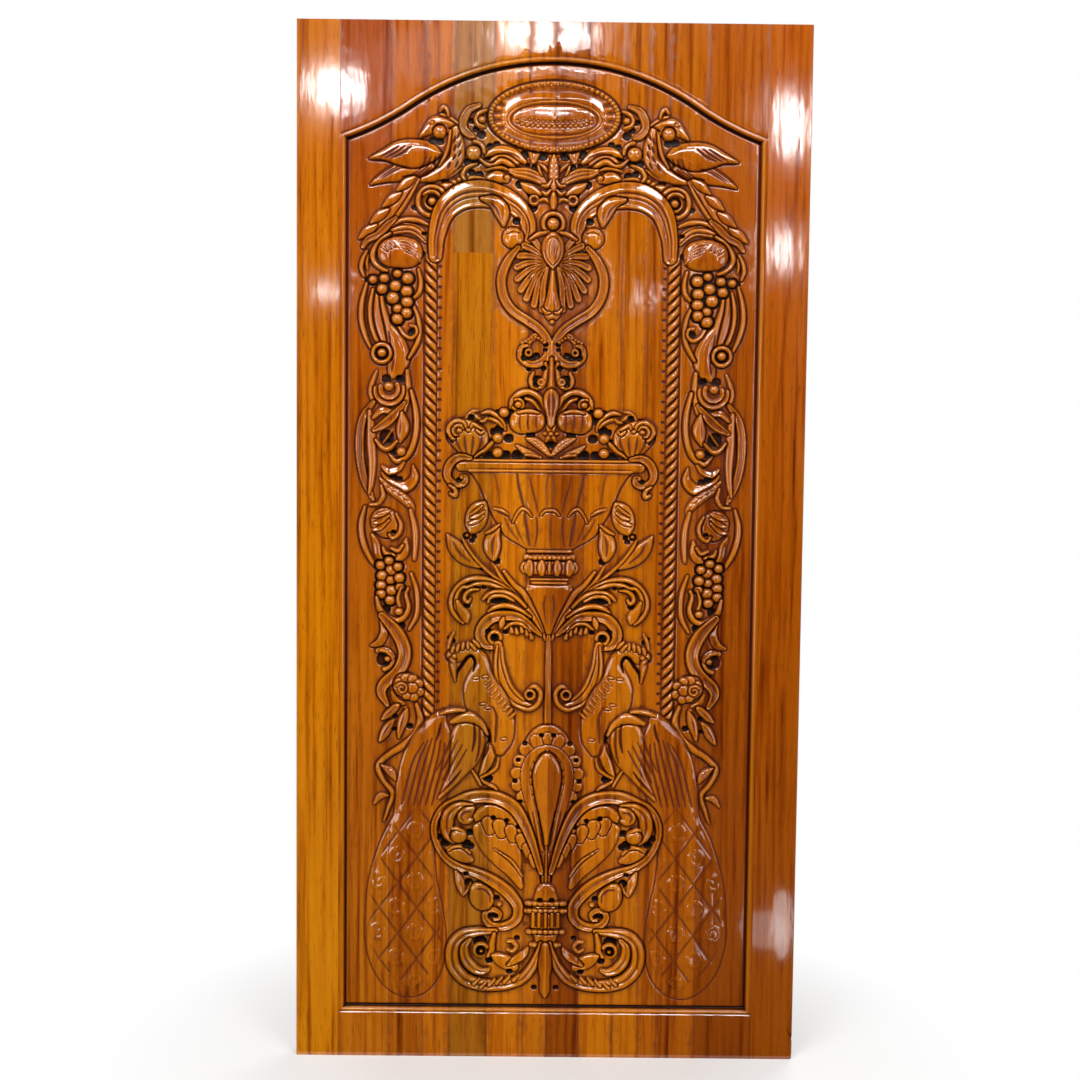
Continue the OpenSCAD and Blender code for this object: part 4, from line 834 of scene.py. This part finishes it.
# The middle palmette: a drop-shaped leaf with a scalloped edge between the two birds.
# A smooth drop lies in it, and its stalk runs down into a ringed collar.
lay(broad, 6.5, (0, 654, 4), (0, 636, 40), (0, 604, 54), (0, 575, 62), (0, 548, 60), (0, 520, 50),
    (0, 470, 38), (0, 420, 18), (0, 370, 10), (0, 330, 8), ditch=4.5, sink=3)
for scallop_x, scallop_z, scallop_r in (
        (0, 650, 11), (23, 645, 12), (43, 626, 13), (55, 602, 13), (61, 578, 12), (59, 553, 12),
        (50, 530, 11)):
    lay(broad, 3, (scallop_x * 0.7, 575 + (scallop_z - 575) * 0.7, scallop_r),
        (scallop_x, scallop_z, scallop_r), ditch=2.5, sink=0, base=4.6)
for notch_x, notch_z in ((12, 655), (45, 638), (58, 605), (64, 562), (53, 521)):
    drill(3.5, (notch_x, notch_z, 4))
lay(lipped(-1), 2.6, (2, 632, 4), (26, 618, 8), (42, 590, 9), (43, 556, 9), (34, 516, 8), (20, 464, 5),
    (8, 420, 3), ditch=2, sink=0, base=5)
lay(broad, 9.5, (0, 616, 3), (0, 600, 19), (0, 574, 29), (0, 540, 25), (0, 500, 17), (0, 460, 8),
    (0, 425, 3), ditch=4, sink=3)
lay(ridged, 8, (0, 430, 2), (0, 390, 3), (0, 340, 4), ditch=2)
for line_x in (16, 28, 38):
    score(2.4, (line_x * 0.25, 350, 1), (line_x * 0.5, 420, 2), (line_x, 500, 1))

# The lower scrolls: two pairs of broad fluted scrolls under the birds with toothed leaves inside them.
# They spring from the collar on the axis, and a pendant closes the panel at its foot.
lay(broad, 7.5, (140, 488, 10), (120, 500, 13), (95, 498, 14), (72, 486, 12), (52, 462, 8), (40, 430, 5),
    ditch=3, sink=1)
lay(broad, 8, (140, 466, 8), (120, 456, 26), (98, 440, 38), (80, 410, 30), (66, 380, 16), (50, 346, 5),
    ditch=3, sink=1.5)
for lobe_x, lobe_z, lobe_r in (
        (118, 478, 12), (95, 472, 13), (72, 462, 12), (52, 446, 10), (40, 428, 9), (28, 408, 8)):
    lay(broad, 2.4, (lobe_x - 5, lobe_z - 16, lobe_r * 0.8), (lobe_x, lobe_z, lobe_r), ditch=2.5, sink=0,
        base=6.6)
for eye_x, eye_z in ((107, 487), (80, 482), (57, 469), (38, 451), (25, 430), (15, 406)):
    drill(4, (eye_x, eye_z, 4.5))
for line in range(3):
    lay(rounded, 3.4, (104 - 9 * line, 424 - 6 * line, 1.6), (86 - 7 * line, 412 - 5 * line, 3),
        (70 - 5 * line, 400 - 6 * line, 3), (56 - 4 * line, 384 - 8 * line, 1.6), ditch=2, sink=0, base=6.5)
lay(broad, 8, (198, 424, 5), (182, 414, 14), (164, 406, 12), (150, 400, 5), ditch=3)
lay(rounded, 9, (197, 420, 3), (182, 428, 4), (165, 426, 4), (153, 414, 2.5), ditch=2)
drill(5, (160, 432, 9), (152, 428, 7), (154, 456, 7))
lay(hollow, 10, (10, 376, 5), (26, 430, 8), (44, 474, 11), (64, 506, 13), (92, 524, 13), (122, 530, 13),
    (152, 527, 13), (178, 519, 10), (204, 508, 7), (220, 488, 6), (226, 462, 6), (221, 436, 6),
    (209, 413, 6), (192, 396, 7), (170, 384, 8), (145, 376, 9), (118, 364, 11), (92, 348, 12),
    (70, 328, 12), (56, 306, 11), (57, 284, 10), (70, 270, 9), (90, 264, 8), (110, 268, 7), (122, 282, 6),
    (118, 296, 5), (104, 299, 4.5), (92, 291, 4), (94, 281, 3.5), (103, 279, 3), sink=3)
drill(5, (101, 287, 5.5))
drill(4, (111, 286, 4.5))
drill(5, (212, 446, 7), (203, 434, 8))
lay(fluted(2), 9.5, (150, 512, 5), (176, 509, 10), (195, 494, 13), (200, 472, 14), (196, 452, 12),
    (184, 440, 8), sink=3)
lay(broad, 9, (148, 506, 5), (160, 496, 13), (166, 487, 13), (158, 480, 7), (150, 483, 4), ditch=3, sink=2)
score(2.4, (152, 500, 1), (164, 498, 2.4), (171, 489, 2.4), (166, 480, 1))
boss(176, 450, 16, 10.5, ditch=3.5, sink=3)
lay(rounded, 3, (190, 464, 2), (180, 465, 3.4), (168, 460, 2.4), ditch=1.5, sink=0, base=7.5)
drill(4, (161, 372, 5))
lay(lipped(1), 8, (180, 376, 4), (172, 352, 9), (166, 330, 4))
drill(5, (155, 354, 8))
lay(rounded, 8, (151, 352, 2), (156, 340, 3), (166, 328, 2), ditch=1, sink=0)
lay(broad, 9.5, (136, 338, 17), (128, 322, 24), (122, 312, 12), ditch=4, sink=3)
score(2.2, (138, 343, 1), (124, 341, 2.2), (113, 330, 2.2), (112, 316, 1))
drill(4, (99, 322, 6))
boss(93, 310, 5, 9)
lay(broad, 8, (0, 334, 20), (0, 300, 28), (0, 262, 26), (0, 226, 18))
for collar_z, collar_half in ((313, 38), (298, 40), (255, 36), (228, 28)):
    lay(rounded, 9.5, (-8, collar_z, 5), (collar_half, collar_z, 5), ditch=2, sink=2)
    for bead_x in range(0, collar_half, 11):
        boss(bead_x, collar_z, 5, 4, ditch=1.2, sink=0, base=7)
for flute_x in (0, 13, 25):
    lay(rounded, 3, (flute_x, 292, 4), (flute_x, 266, 4), ditch=2, sink=0, base=6)
drill(4, (12, 320, 5))
lay(fluted(2), 9.5, (100, 256, 5), (140, 253, 10), (170, 243, 13), (186, 218, 14), (184, 184, 14),
    (164, 158, 14), (136, 146, 13), (104, 143, 12), (74, 146, 11), (46, 158, 11), (27, 180, 10),
    (14, 210, 7), (9, 232, 4), sink=3)
lay(fluted(2), 9, (152, 238, 5), (163, 222, 9), (160, 198, 11), (146, 180, 11), (128, 172, 8),
    (114, 176, 4), ditch=3, sink=2)
lay(rounded, 9.5, (103, 250, 4), (107, 230, 6), (108, 214, 6), (116, 203, 4), sink=2)
drill(5, (131, 232, 13))
lay(rounded, 9, *coil(130, 215, 15, 11, 150, -250, 4), ditch=1.5, sink=1)
drill(5, (130, 213, 9))
boss(129, 213, 3, 5, ditch=1, sink=0)
drill(5, (113, 195, 7))
lay(broad, 9, (106, 206, 4), (92, 198, 12), (76, 190, 14), (62, 182, 9), ditch=3, sink=2)
lay(lipped(1), 9, (74, 188, 4), (58, 198, 8), (44, 208, 8), (36, 220, 3), ditch=3, sink=2)
lay(rounded, 8, (76, 234, 3), (66, 234, 4.5), (58, 224, 4.5), (66, 214, 4), (76, 218, 3), ditch=2)
drill(4, (57, 241, 5))
drill(5, (72, 173, 6))
for toe_x, toe_z in ((138, 152), (124, 145), (107, 150), (92, 154), (77, 156), (58, 160)):
    lay(rounded, 4, (toe_x - 5, toe_z + 5, 2.5), (toe_x + 5, toe_z - 5, 4), ditch=2, sink=0, base=6.5)
drill(4, (22, 139, 5))
lay(broad, 9, (0, 226, 8), (0, 190, 14), (0, 160, 10), (0, 136, 10), (0, 120, 2))

# The finished face: sharp tool marks are softened by sanding.
# Cavity is how far a spot lies below (above 0) or over (under 0) the mean of the wood round it, plus the
# painted shade.


def softened(map_mm, reach):
    """Mean over a square of that reach, by running sums, with the mirror half beyond the centre line."""
    out = map_mm
    for axis in (0, 1):
        pad = [(0, 0), (0, 0)]
        pad[axis] = (reach + 1, reach)
        total = np.cumsum(np.pad(out, pad, mode="reflect"), axis=axis)
        high = np.take(total, range(2 * reach + 1, total.shape[axis]), axis=axis)
        low = np.take(total, range(0, total.shape[axis] - 2 * reach - 1), axis=axis)
        out = (high - low) / (2 * reach + 1)
    return out


draw = np.random.default_rng(7)
ground_wave_mm, margin_wave_mm, wave_reach, wave_reach_again = 0.06, 0.02, 9, 7
sanded_share = 0.5
wave = softened(softened(draw.standard_normal(relief.shape), wave_reach), wave_reach_again)
wave /= wave.std()
relief = (1 - sanded_share) * relief + sanded_share * softened(relief, 1) + ground_wave_mm * wave
on_margin = edge_out > moulding_w
relief = np.where(on_margin, relief_depth - margin_wave_mm * np.abs(wave), np.minimum(relief, relief_depth))
near_reach, far_reach, far_reach_again = 4, 9, 5
near_share, far_share = 0.55, 0.45
near_mean = softened(relief, near_reach)
far_mean = softened(softened(relief, far_reach), far_reach_again)
# From this cavity the material paints shade in the hollows and a highlight on the ridges.
cavity = (near_share * (near_mean - relief) + far_share * (far_mean - relief) + painted_shade) * ~on_margin

# The boards between the stiles: twelve lengths of teak of several widths and tones, one of them pieced.
# Each is its own piece here, cut through the finished carving at its glue lines, and plain at the back.
# Varnished teak: straight to wavy grain in dark streaks, open pores, and a thick coat of gloss varnish.


def linear(hex_colour):
    """An sRGB hex colour as linear RGBA."""
    parts = [int(hex_colour[k:k + 2], 16) / 255 for k in (1, 3, 5)]
    return tuple(c / 12.92 if c <= 0.04045 else ((c + 0.055) / 1.055) ** 2.4 for c in parts) + (1.0,)


def put(tree, kind, inputs=(), **settings):
    """Adds a node with its settings, and sets or links its inputs."""
    made = tree.nodes.new(kind)
    for name, value in settings.items():
        setattr(made, name, value)
    for name, value in dict(inputs).items():
        if isinstance(value, bpy.types.NodeSocket):
            tree.links.new(value, made.inputs[name])
        else:
            made.inputs[name].default_value = value
    return made


def varnished_teak(name, end_tones=None):
    """Teak under gloss varnish, from a foot tone to a head tone or in the colour that a board carries."""
    material = bpy.data.materials.new(name)
    material.use_nodes = True
    tree = material.node_tree
    tree.nodes.clear()
    place = put(tree, "ShaderNodeTexCoord").outputs["Object"]
    if end_tones:
        climb = put(tree, "ShaderNodeSeparateXYZ", {0: place}).outputs["Z"]
        whole_leaf = {0: climb, 1: 0.0, 2: leaf_h * MM, 3: 0.0, 4: 1.0}
        climb = put(tree, "ShaderNodeMapRange", whole_leaf).outputs[0]
        tones = {0: climb, 6: linear(end_tones[0]), 7: linear(end_tones[1])}
        wood = put(tree, "ShaderNodeMix", tones, data_type="RGBA").outputs[2]
    else:
        wood = put(tree, "ShaderNodeAttribute", attribute_name="board_colour").outputs["Color"]
        shift = put(tree, "ShaderNodeAttribute", attribute_name="board_shift").outputs["Vector"]
        place = put(tree, "ShaderNodeVectorMath", {0: place, 1: shift}, operation="ADD").outputs[0]

    def grain(width_mm, length_mm, **inputs):
        """Noise drawn out along the board, with marks of about that width and length."""
        stretch = (1 / (width_mm * MM), 1 / (width_mm * MM), 1 / (length_mm * MM))
        along = put(tree, "ShaderNodeMapping", {"Vector": place, "Scale": stretch}).outputs[0]
        return put(tree, "ShaderNodeTexNoise", {"Vector": along, "Scale": 1.0, **inputs}).outputs["Fac"]

    # Dark streaks in broad bands, short pores, and a wavy figure whose lines lie about 17 mm apart.
    # A wave texture of scale 1 has its lines 0.314 m apart.
    figure_mm, figure_stretch, wave_spacing = 17, 0.07, 0.314
    streaks = grain(11, 300, Detail=3.0, Roughness=0.55, Distortion=1.2)
    bands = grain(42, 900, Detail=2.0, Roughness=0.5, Distortion=1.8)
    pores = grain(2.2, 34, Detail=1.0, Roughness=0.5)
    along = put(tree, "ShaderNodeMapping", {"Vector": place, "Scale": (1, 1, figure_stretch)}).outputs[0]
    wavy = {"Vector": along, "Scale": wave_spacing / (figure_mm * MM), "Distortion": 9.0, "Detail": 2.0,
            "Detail Scale": 0.35, "Detail Roughness": 0.5}
    figure = put(tree, "ShaderNodeTexWave", wavy, bands_direction="X").outputs["Fac"]
    mixed = 0.05
    for marks, share in ((streaks, 0.55), (bands, 0.65), (figure, 0.08)):
        added = {0: marks, 1: share, 2: mixed}
        mixed = put(tree, "ShaderNodeMath", added, operation="MULTIPLY_ADD").outputs[0]
    tint = put(tree, "ShaderNodeValToRGB", {"Fac": mixed})
    stops = ((0.46, "#986c42"), (0.60, "#d6be96"), (0.72, "#f6ead2"), (0.9, "#ffffff"))
    ramp = tint.color_ramp
    while len(ramp.elements) < len(stops):
        ramp.elements.new(0.5)
    for element, (at, tone) in zip(ramp.elements, stops):
        element.position = at
        element.color = linear(tone)
    tinted = {0: 1.0, 6: wood, 7: tint.outputs[0]}
    colour = put(tree, "ShaderNodeMix", tinted, data_type="RGBA", blend_type="MULTIPLY").outputs[2]
    pore_dark = put(tree, "ShaderNodeMapRange", {0: pores, 1: 0.60, 2: 0.72, 3: 0.0, 4: 0.45}).outputs[0]
    dotted = {0: pore_dark, 6: colour, 7: linear("#4a1d05")}
    colour = put(tree, "ShaderNodeMix", dotted, data_type="RGBA").outputs[2]
    gloss = put(tree, "ShaderNodeMapRange", {0: streaks, 1: 0.3, 2: 0.7, 3: 0.06, 4: 0.10}).outputs[0]
    shine = 1.0

    # On the carving, light and shade are painted by cavity: ridges get a golden painted highlight, partly
    # rubbed wear, shallow cuts a red painted shade and deep ones a nearly black painted shade, and the
    # gloss is taken off the hollows.
    if end_tones is None:
        cut = put(tree, "ShaderNodeAttribute", attribute_name="cavity").outputs["Fac"]
        for shallow, deep, share, tone in ((-0.3, -2.6, 0.35, "#d4820e"), (0.1, 1.6, 0.88, "#4e1800"),
                                           (2.4, 4.6, 0.93, "#080200")):
            depths = {0: cut, 1: shallow, 2: deep, 3: 0.0, 4: share}
            amount = put(tree, "ShaderNodeMapRange", depths).outputs[0]
            painted_light_wood = {0: amount, 6: colour, 7: linear(tone)}
            colour = put(tree, "ShaderNodeMix", painted_light_wood, data_type="RGBA").outputs[2]
        shine = put(tree, "ShaderNodeMapRange", {0: cut, 1: 0.1, 2: 1.2, 3: 1.0, 4: 0.15}).outputs[0]
        dulled = put(tree, "ShaderNodeMapRange", {0: cut, 1: 0.1, 2: 1.2, 3: 0.0, 4: 0.25}).outputs[0]
        gloss = put(tree, "ShaderNodeMath", {0: gloss, 1: dulled}, operation="ADD").outputs[0]

    # The brushed varnish has a slight ripple, and it sinks a little over the streaks.
    ripple = grain(22, 80, Detail=2.0, Roughness=0.5)
    rippled = {0: streaks, 1: 0.10, 2: ripple}
    height = put(tree, "ShaderNodeMath", rippled, operation="MULTIPLY_ADD").outputs[0]
    bump = put(tree, "ShaderNodeBump", {"Strength": 0.6, "Distance": 0.3 * MM, "Height": height}).outputs[0]
    varnish = {"Base Color": colour, "Roughness": gloss, "Normal": bump, "Specular IOR Level": shine}
    shader = put(tree, "ShaderNodeBsdfPrincipled", varnish)
    put(tree, "ShaderNodeOutputMaterial", {"Surface": shader.outputs[0]})
    return material


carved_teak = varnished_teak("varnished_carved_teak")
board_step = 1.25
triangles_kept_share = 0.42
glue_stain_mm, glue_stain_reach_mm = 0.9, 1.3
grain_shift_m = 3
sharp_from_degrees = 75
edge_x, head_z, pieced_z = round(half_w), round(leaf_h), 1608
boards = (
    (-edge_x, -316, 0, head_z, "#b26a10", "#944206"), (-316, -246, 0, head_z, "#a45c0c", "#a65408"),
    (-246, -195, 0, head_z, "#b4680e", "#b0600c"), (-195, -116, 0, pieced_z, "#9c6214", "#ac680c"),
    (-195, -116, pieced_z, head_z, "#9a6426", "#9a6426"), (-116, -46, 0, head_z, "#c0720e", "#bd6e0e"),
    (-46, 2, 0, head_z, "#b4680c", "#b2620c"), (2, 68, 0, head_z, "#8c4606", "#944c08"),
    (68, 137, 0, head_z, "#bc6e0a", "#ae6008"), (137, 186, 0, head_z, "#b86c0a", "#ae620a"),
    (186, 224, 0, head_z, "#a85c0a", "#a85c08"), (224, 300, 0, head_z, "#9e5408", "#a45808"),
    (300, edge_x, 0, head_z, "#803e06", "#a05208"),
)


def sampled(map_mm, x, z):
    """The map's value at places in mm, between its cells, where the left half mirrors the right one."""
    from_end = 1.001
    x, z = np.clip(np.abs(x), 0, len(columns) - from_end), np.clip(z, 0, len(rows) - from_end)
    c, r = x.astype(int), z.astype(int)
    fx, fz = x - c, z - r
    low = map_mm[r, c] * (1 - fx) + map_mm[r, c + 1] * fx
    high = map_mm[r + 1, c] * (1 - fx) + map_mm[r + 1, c + 1] * fx
    return low * (1 - fz) + high * fz


for number, (left, right, foot, head, foot_tone, head_tone) in enumerate(boards, 1):
    name = f"carved_board_{number:02d}"
    bm = bmesh.new()
    across_count = round((right - left) / board_step)
    up_count = round((head - foot) / board_step)
    bmesh.ops.create_grid(bm, x_segments=across_count, y_segments=up_count, size=0.5)
    bmesh.ops.scale(bm, verts=bm.verts, vec=(right - left, head - foot, 1))
    bmesh.ops.rotate(bm, verts=bm.verts, matrix=Matrix.Rotation(math.pi / 2, 3, "X"))
    bmesh.ops.translate(bm, verts=bm.verts, vec=((left + right) / 2, face_y, (foot + head) / 2))
    front_count = len(bm.verts)
    # The walls are made one by one, in an order that stays, so that the thinning is the same in each run.
    rim = [corner for edge in bm.edges if edge.is_boundary for corner in edge.link_loops]
    wall_ends = {corner.vert: bm.verts.new(corner.vert.co) for corner in rim}
    bmesh.ops.translate(bm, verts=list(wall_ends.values()), vec=(0, back_y - face_y, 0))
    for corner in rim:
        near, far = corner.vert, corner.link_loop_next.vert
        bm.faces.new((far, near, wall_ends[near], wall_ends[far]))
    bmesh.ops.edgeloop_fill(bm, edges=[edge for edge in bm.edges if edge.is_boundary])
    bmesh.ops.recalc_face_normals(bm, faces=bm.faces)
    mesh = bpy.data.meshes.new(name)
    bm.to_mesh(mesh)
    bm.free()

    spots = np.empty(len(mesh.vertices) * 3, np.float32)
    mesh.vertices.foreach_get("co", spots)
    spots = spots.reshape(-1, 3)
    front = spots[:front_count]
    front[:, 1] = face_y + relief_depth - sampled(relief, front[:, 0], front[:, 2])
    depth = np.zeros(len(spots), np.float32)
    depth[:front_count] = sampled(cavity, front[:, 0], front[:, 2])
    to_glue = np.minimum(front[:, 0] - left, right - front[:, 0])
    depth[:front_count] += glue_stain_mm * np.clip(1 - to_glue / glue_stain_reach_mm, 0, 1)
    mesh.vertices.foreach_set("co", (spots * MM).ravel())
    mesh.attributes.new("cavity", "FLOAT", "POINT").data.foreach_set("value", depth)
    thinned = bpy.data.objects.new(name, mesh)
    bpy.context.scene.collection.objects.link(thinned)
    thin = thinned.modifiers.new("thin", "DECIMATE")
    thin.ratio = triangles_kept_share
    done = bpy.data.meshes.new_from_object(thinned.evaluated_get(bpy.context.evaluated_depsgraph_get()))
    bpy.data.objects.remove(thinned)

    count = len(done.vertices)
    spots = np.empty(count * 3, np.float32)
    done.vertices.foreach_get("co", spots)
    climb = ((spots[2::3, None] / MM - foot) / (head - foot)).clip(0, 1)
    tones = np.float32(linear(foot_tone)) * (1 - climb) + np.float32(linear(head_tone)) * climb
    board_colour = done.attributes.new("board_colour", "FLOAT_COLOR", "POINT")
    board_colour.data.foreach_set("color", tones.astype(np.float32).ravel())
    shift = draw.uniform(-grain_shift_m, grain_shift_m, 3).astype(np.float32)
    board_shift = done.attributes.new("board_shift", "FLOAT_VECTOR", "POINT")
    board_shift.data.foreach_set("vector", np.tile(shift, count))
    done.shade_smooth()
    done.set_sharp_from_angle(angle=math.radians(sharp_from_degrees))
    done.materials.clear()
    done.materials.append(carved_teak)
    board = bpy.data.objects.new(name, done)
    bpy.context.scene.collection.objects.link(board)
    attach(board, "root")
    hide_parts("carved_panel")

# The stiles: the two plain outer boards, with their long arrises eased, from the frame as they are.
# The left one is a brighter board than the right one.
for stile, end_tones in (("left_stile", ("#c47c06", "#b06206")), ("right_stile", ("#8a4604", "#a45204"))):
    stile_teak = varnished_teak(f"varnished_teak_{stile}", end_tones)
    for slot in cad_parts[stile].material_slots:
        slot.material = stile_teak

# The studio floor: a wide sheet of board painted matt white, which the leaf stands on.
# It shows the leaf's shadow close by, and further off it passes into the plain white of the room.
floor_half, shadow_full_r, shadow_gone_r = 12, 0.3, 0.9
bm = bmesh.new()
bmesh.ops.create_grid(bm, x_segments=1, y_segments=1, size=floor_half)
floor_mesh = bpy.data.meshes.new("studio_floor")
bm.to_mesh(floor_mesh)
bm.free()
floor = bpy.data.objects.new("studio_floor", floor_mesh)
bpy.context.scene.collection.objects.link(floor)


def looked_at(tree):
    """1 where a thing is seen, straight or in a shiny or clear one, and 0 where it only gives light."""
    path = put(tree, "ShaderNodeLightPath").outputs
    seen = path["Is Camera Ray"]
    for kind in ("Is Glossy Ray", "Is Transmission Ray"):
        seen = put(tree, "ShaderNodeMath", {0: seen, 1: path[kind]}, operation="MAXIMUM").outputs[0]
    return seen


floor_paint = bpy.data.materials.new("matt_white_floor_paint")
floor_paint.use_nodes = True
paint = floor_paint.node_tree
paint.nodes.clear()
floor_place = put(paint, "ShaderNodeTexCoord").outputs["Object"]
from_leaf = put(paint, "ShaderNodeVectorMath", {0: floor_place}, operation="LENGTH").outputs["Value"]
fade = {0: from_leaf, 1: shadow_full_r, 2: shadow_gone_r, 3: 0.0, 4: 1.0}
faded = put(paint, "ShaderNodeMapRange", fade).outputs[0]
faded = put(paint, "ShaderNodeMath", {0: faded, 1: looked_at(paint)}, operation="MULTIPLY").outputs[0]
matt = put(paint, "ShaderNodeBsdfDiffuse", {"Color": linear("#f2f1ef")}).outputs[0]
blank = put(paint, "ShaderNodeEmission", {"Strength": 1.0}).outputs[0]
floor_look = put(paint, "ShaderNodeMixShader", {0: faded, 1: matt, 2: blank}).outputs[0]
put(paint, "ShaderNodeOutputMaterial", {"Surface": floor_look})
floor_mesh.materials.append(floor_paint)

# The room: plain white walls all round, which look white to the camera and in the varnish.
# They give the leaf only a little light, so that the soft boxes shape the carving.
room_light = 0.12
world = bpy.data.worlds.new("white_room")
world.use_nodes = True
bpy.context.scene.world = world
room = world.node_tree
room.nodes.clear()
level = put(room, "ShaderNodeMapRange", {0: looked_at(room), 1: 0.0, 2: 1.0, 3: room_light, 4: 1.0})
air = put(room, "ShaderNodeBackground", {"Color": (1, 1, 1, 1), "Strength": level.outputs[0]})
put(room, "ShaderNodeOutputWorld", {"Surface": air.outputs[0]})

# The dark cloths: black-brown felt, one length laid in front of the leaf and one hung across the room.
# They are seen only in the varnish, where flat wood would otherwise mirror the white room.
felt = bpy.data.materials.new("dark_felt")
felt.use_nodes = True
felt.node_tree.nodes.clear()
weave = put(felt.node_tree, "ShaderNodeBsdfDiffuse", {"Color": linear("#2a2320")}).outputs[0]
put(felt.node_tree, "ShaderNodeOutputMaterial", {"Surface": weave})
cloth_near, cloth_far, cloth_w, cloth_h, cloth_z = -0.03, -4.5, 30, 12, 0.002
laid_mid, laid_size = (0, (cloth_near + cloth_far) / 2, cloth_z), (cloth_w, cloth_near - cloth_far, 1)
hung_mid, hung_size = (0, cloth_far, cloth_h / 2), (cloth_w, cloth_h, 1)
for cloth_name, cloth_mid, cloth_size, cloth_turn in (
        ("studio_floor_cloth", laid_mid, laid_size, 0),
        ("studio_hung_cloth", hung_mid, hung_size, math.pi / 2)):
    bm = bmesh.new()
    bmesh.ops.create_grid(bm, x_segments=1, y_segments=1, size=0.5)
    bmesh.ops.scale(bm, verts=bm.verts, vec=cloth_size)
    bmesh.ops.rotate(bm, verts=bm.verts, matrix=Matrix.Rotation(cloth_turn, 3, "X"))
    bmesh.ops.translate(bm, verts=bm.verts, vec=cloth_mid)
    cloth_mesh = bpy.data.meshes.new(cloth_name)
    bm.to_mesh(cloth_mesh)
    bm.free()
    cloth_mesh.materials.append(felt)
    cloth = bpy.data.objects.new(cloth_name, cloth_mesh)
    cloth.visible_camera = False
    cloth.visible_shadow = False
    cloth.visible_diffuse = False
    bpy.context.scene.collection.objects.link(cloth)

# The lamps: large soft boxes and fills that light the leaf, and small lamps in the plane of the camera.
# The small ones show in the varnish, as the glare of ceiling lamps and windows and as glints on the ridges.
# Each has its place, what it points at, its width and height in metres, and its power in watts.
leaf_mid = (0, 0, 1.0)
glare_y, low_y = -2.98, -0.57
low_right = (0.46, 0, 0.28)
lamps = (
    ("left_soft_box", (-1.2, -2.2, 3.6), leaf_mid, (1.5, 1.0), 60),
    ("right_soft_box", (1.1, -2.2, 3.5), leaf_mid, (1.2, 0.8), 37),
    ("left_fill", (-2.4, -2.2, 0.9), (0, 0, 0.8), (1.6, 1.6), 21),
    ("right_fill", (2.4, -2.2, 0.9), (0, 0, 0.6), (1.6, 1.6), 16),
    ("ceiling_strip", (0, -2.6, 3.02), leaf_mid, (3.0, 0.25), 26),
    ("shell_lamp", (0.07, glare_y, 1.88), leaf_mid, (0.2, 0.14), 0.45),
    ("left_strip", (-1.22, glare_y, 1.8), (0, 0, 1.2), (0.12, 1.8), 5),
    ("right_strip", (1.22, glare_y, 1.8), (0, 0, 1.2), (0.12, 1.8), 5),
    ("back_soft_box", (1.6, 3.2, 2.2), leaf_mid, (3.0, 3.0), 90),
    ("left_ceiling_lamp", (-0.82, glare_y, 2.60), leaf_mid, (0.2, 0.14), 2.0),
    ("middle_ceiling_lamp", (0.0, glare_y, 2.82), leaf_mid, (0.4, 0.1), 2.6),
    ("right_ceiling_lamp", (0.95, glare_y, 2.48), leaf_mid, (0.1, 0.24), 1.6),
    ("right_window", (0.92, glare_y, 2.0), leaf_mid, (0.08, 0.16), 0.6),
    ("left_window", (-0.84, glare_y, 1.82), leaf_mid, (0.12, 0.05), 0.2),
    ("middle_window", (0.41, glare_y, 1.82), leaf_mid, (0.08, 0.05), 0.08),
    ("right_low_window", (0.570, low_y, 0.100), low_right, (0.045, 0.16), 0.06),
    ("right_low_pane", (0.530, low_y, 0.085), low_right, (0.10, 0.09), 0.03),
    ("ceiling_panel", (-0.2, glare_y, 2.72), leaf_mid, (0.9, 0.3), 0.6),
)
for lamp_name, place, target, (lamp_w, lamp_h), watts in lamps:
    lamp = bpy.data.lights.new(lamp_name, "AREA")
    lamp.shape = "ELLIPSE"
    lamp.size, lamp.size_y = lamp_w, lamp_h
    lamp.energy = watts
    box = bpy.data.objects.new(lamp_name, lamp)
    box.location = place
    box.rotation_euler = (Vector(target) - Vector(place)).to_track_quat("-Z", "Y").to_euler()
    box.visible_camera = False
    bpy.context.scene.collection.objects.link(box)

# The camera: a normal lens at about the height of someone's chest, square in front of the leaf.
# It looks down by a few degrees and leans a little, as in the photograph.
look_down, lean, turn = math.radians(3.677), math.radians(0.623), math.radians(0.187)
camera = bpy.data.cameras.new("camera")
camera.lens = 50
camera.sensor_width = 36
eye = bpy.data.objects.new("camera", camera)
eye.location = (-0.031, -2.976, 1.236)
eye.rotation_euler = (math.pi / 2 - look_down, -lean, -turn)
bpy.context.scene.collection.objects.link(eye)
bpy.context.scene.camera = eye
bpy.context.scene.view_settings.view_transform = "Standard"

bpy.context.view_layer.update()
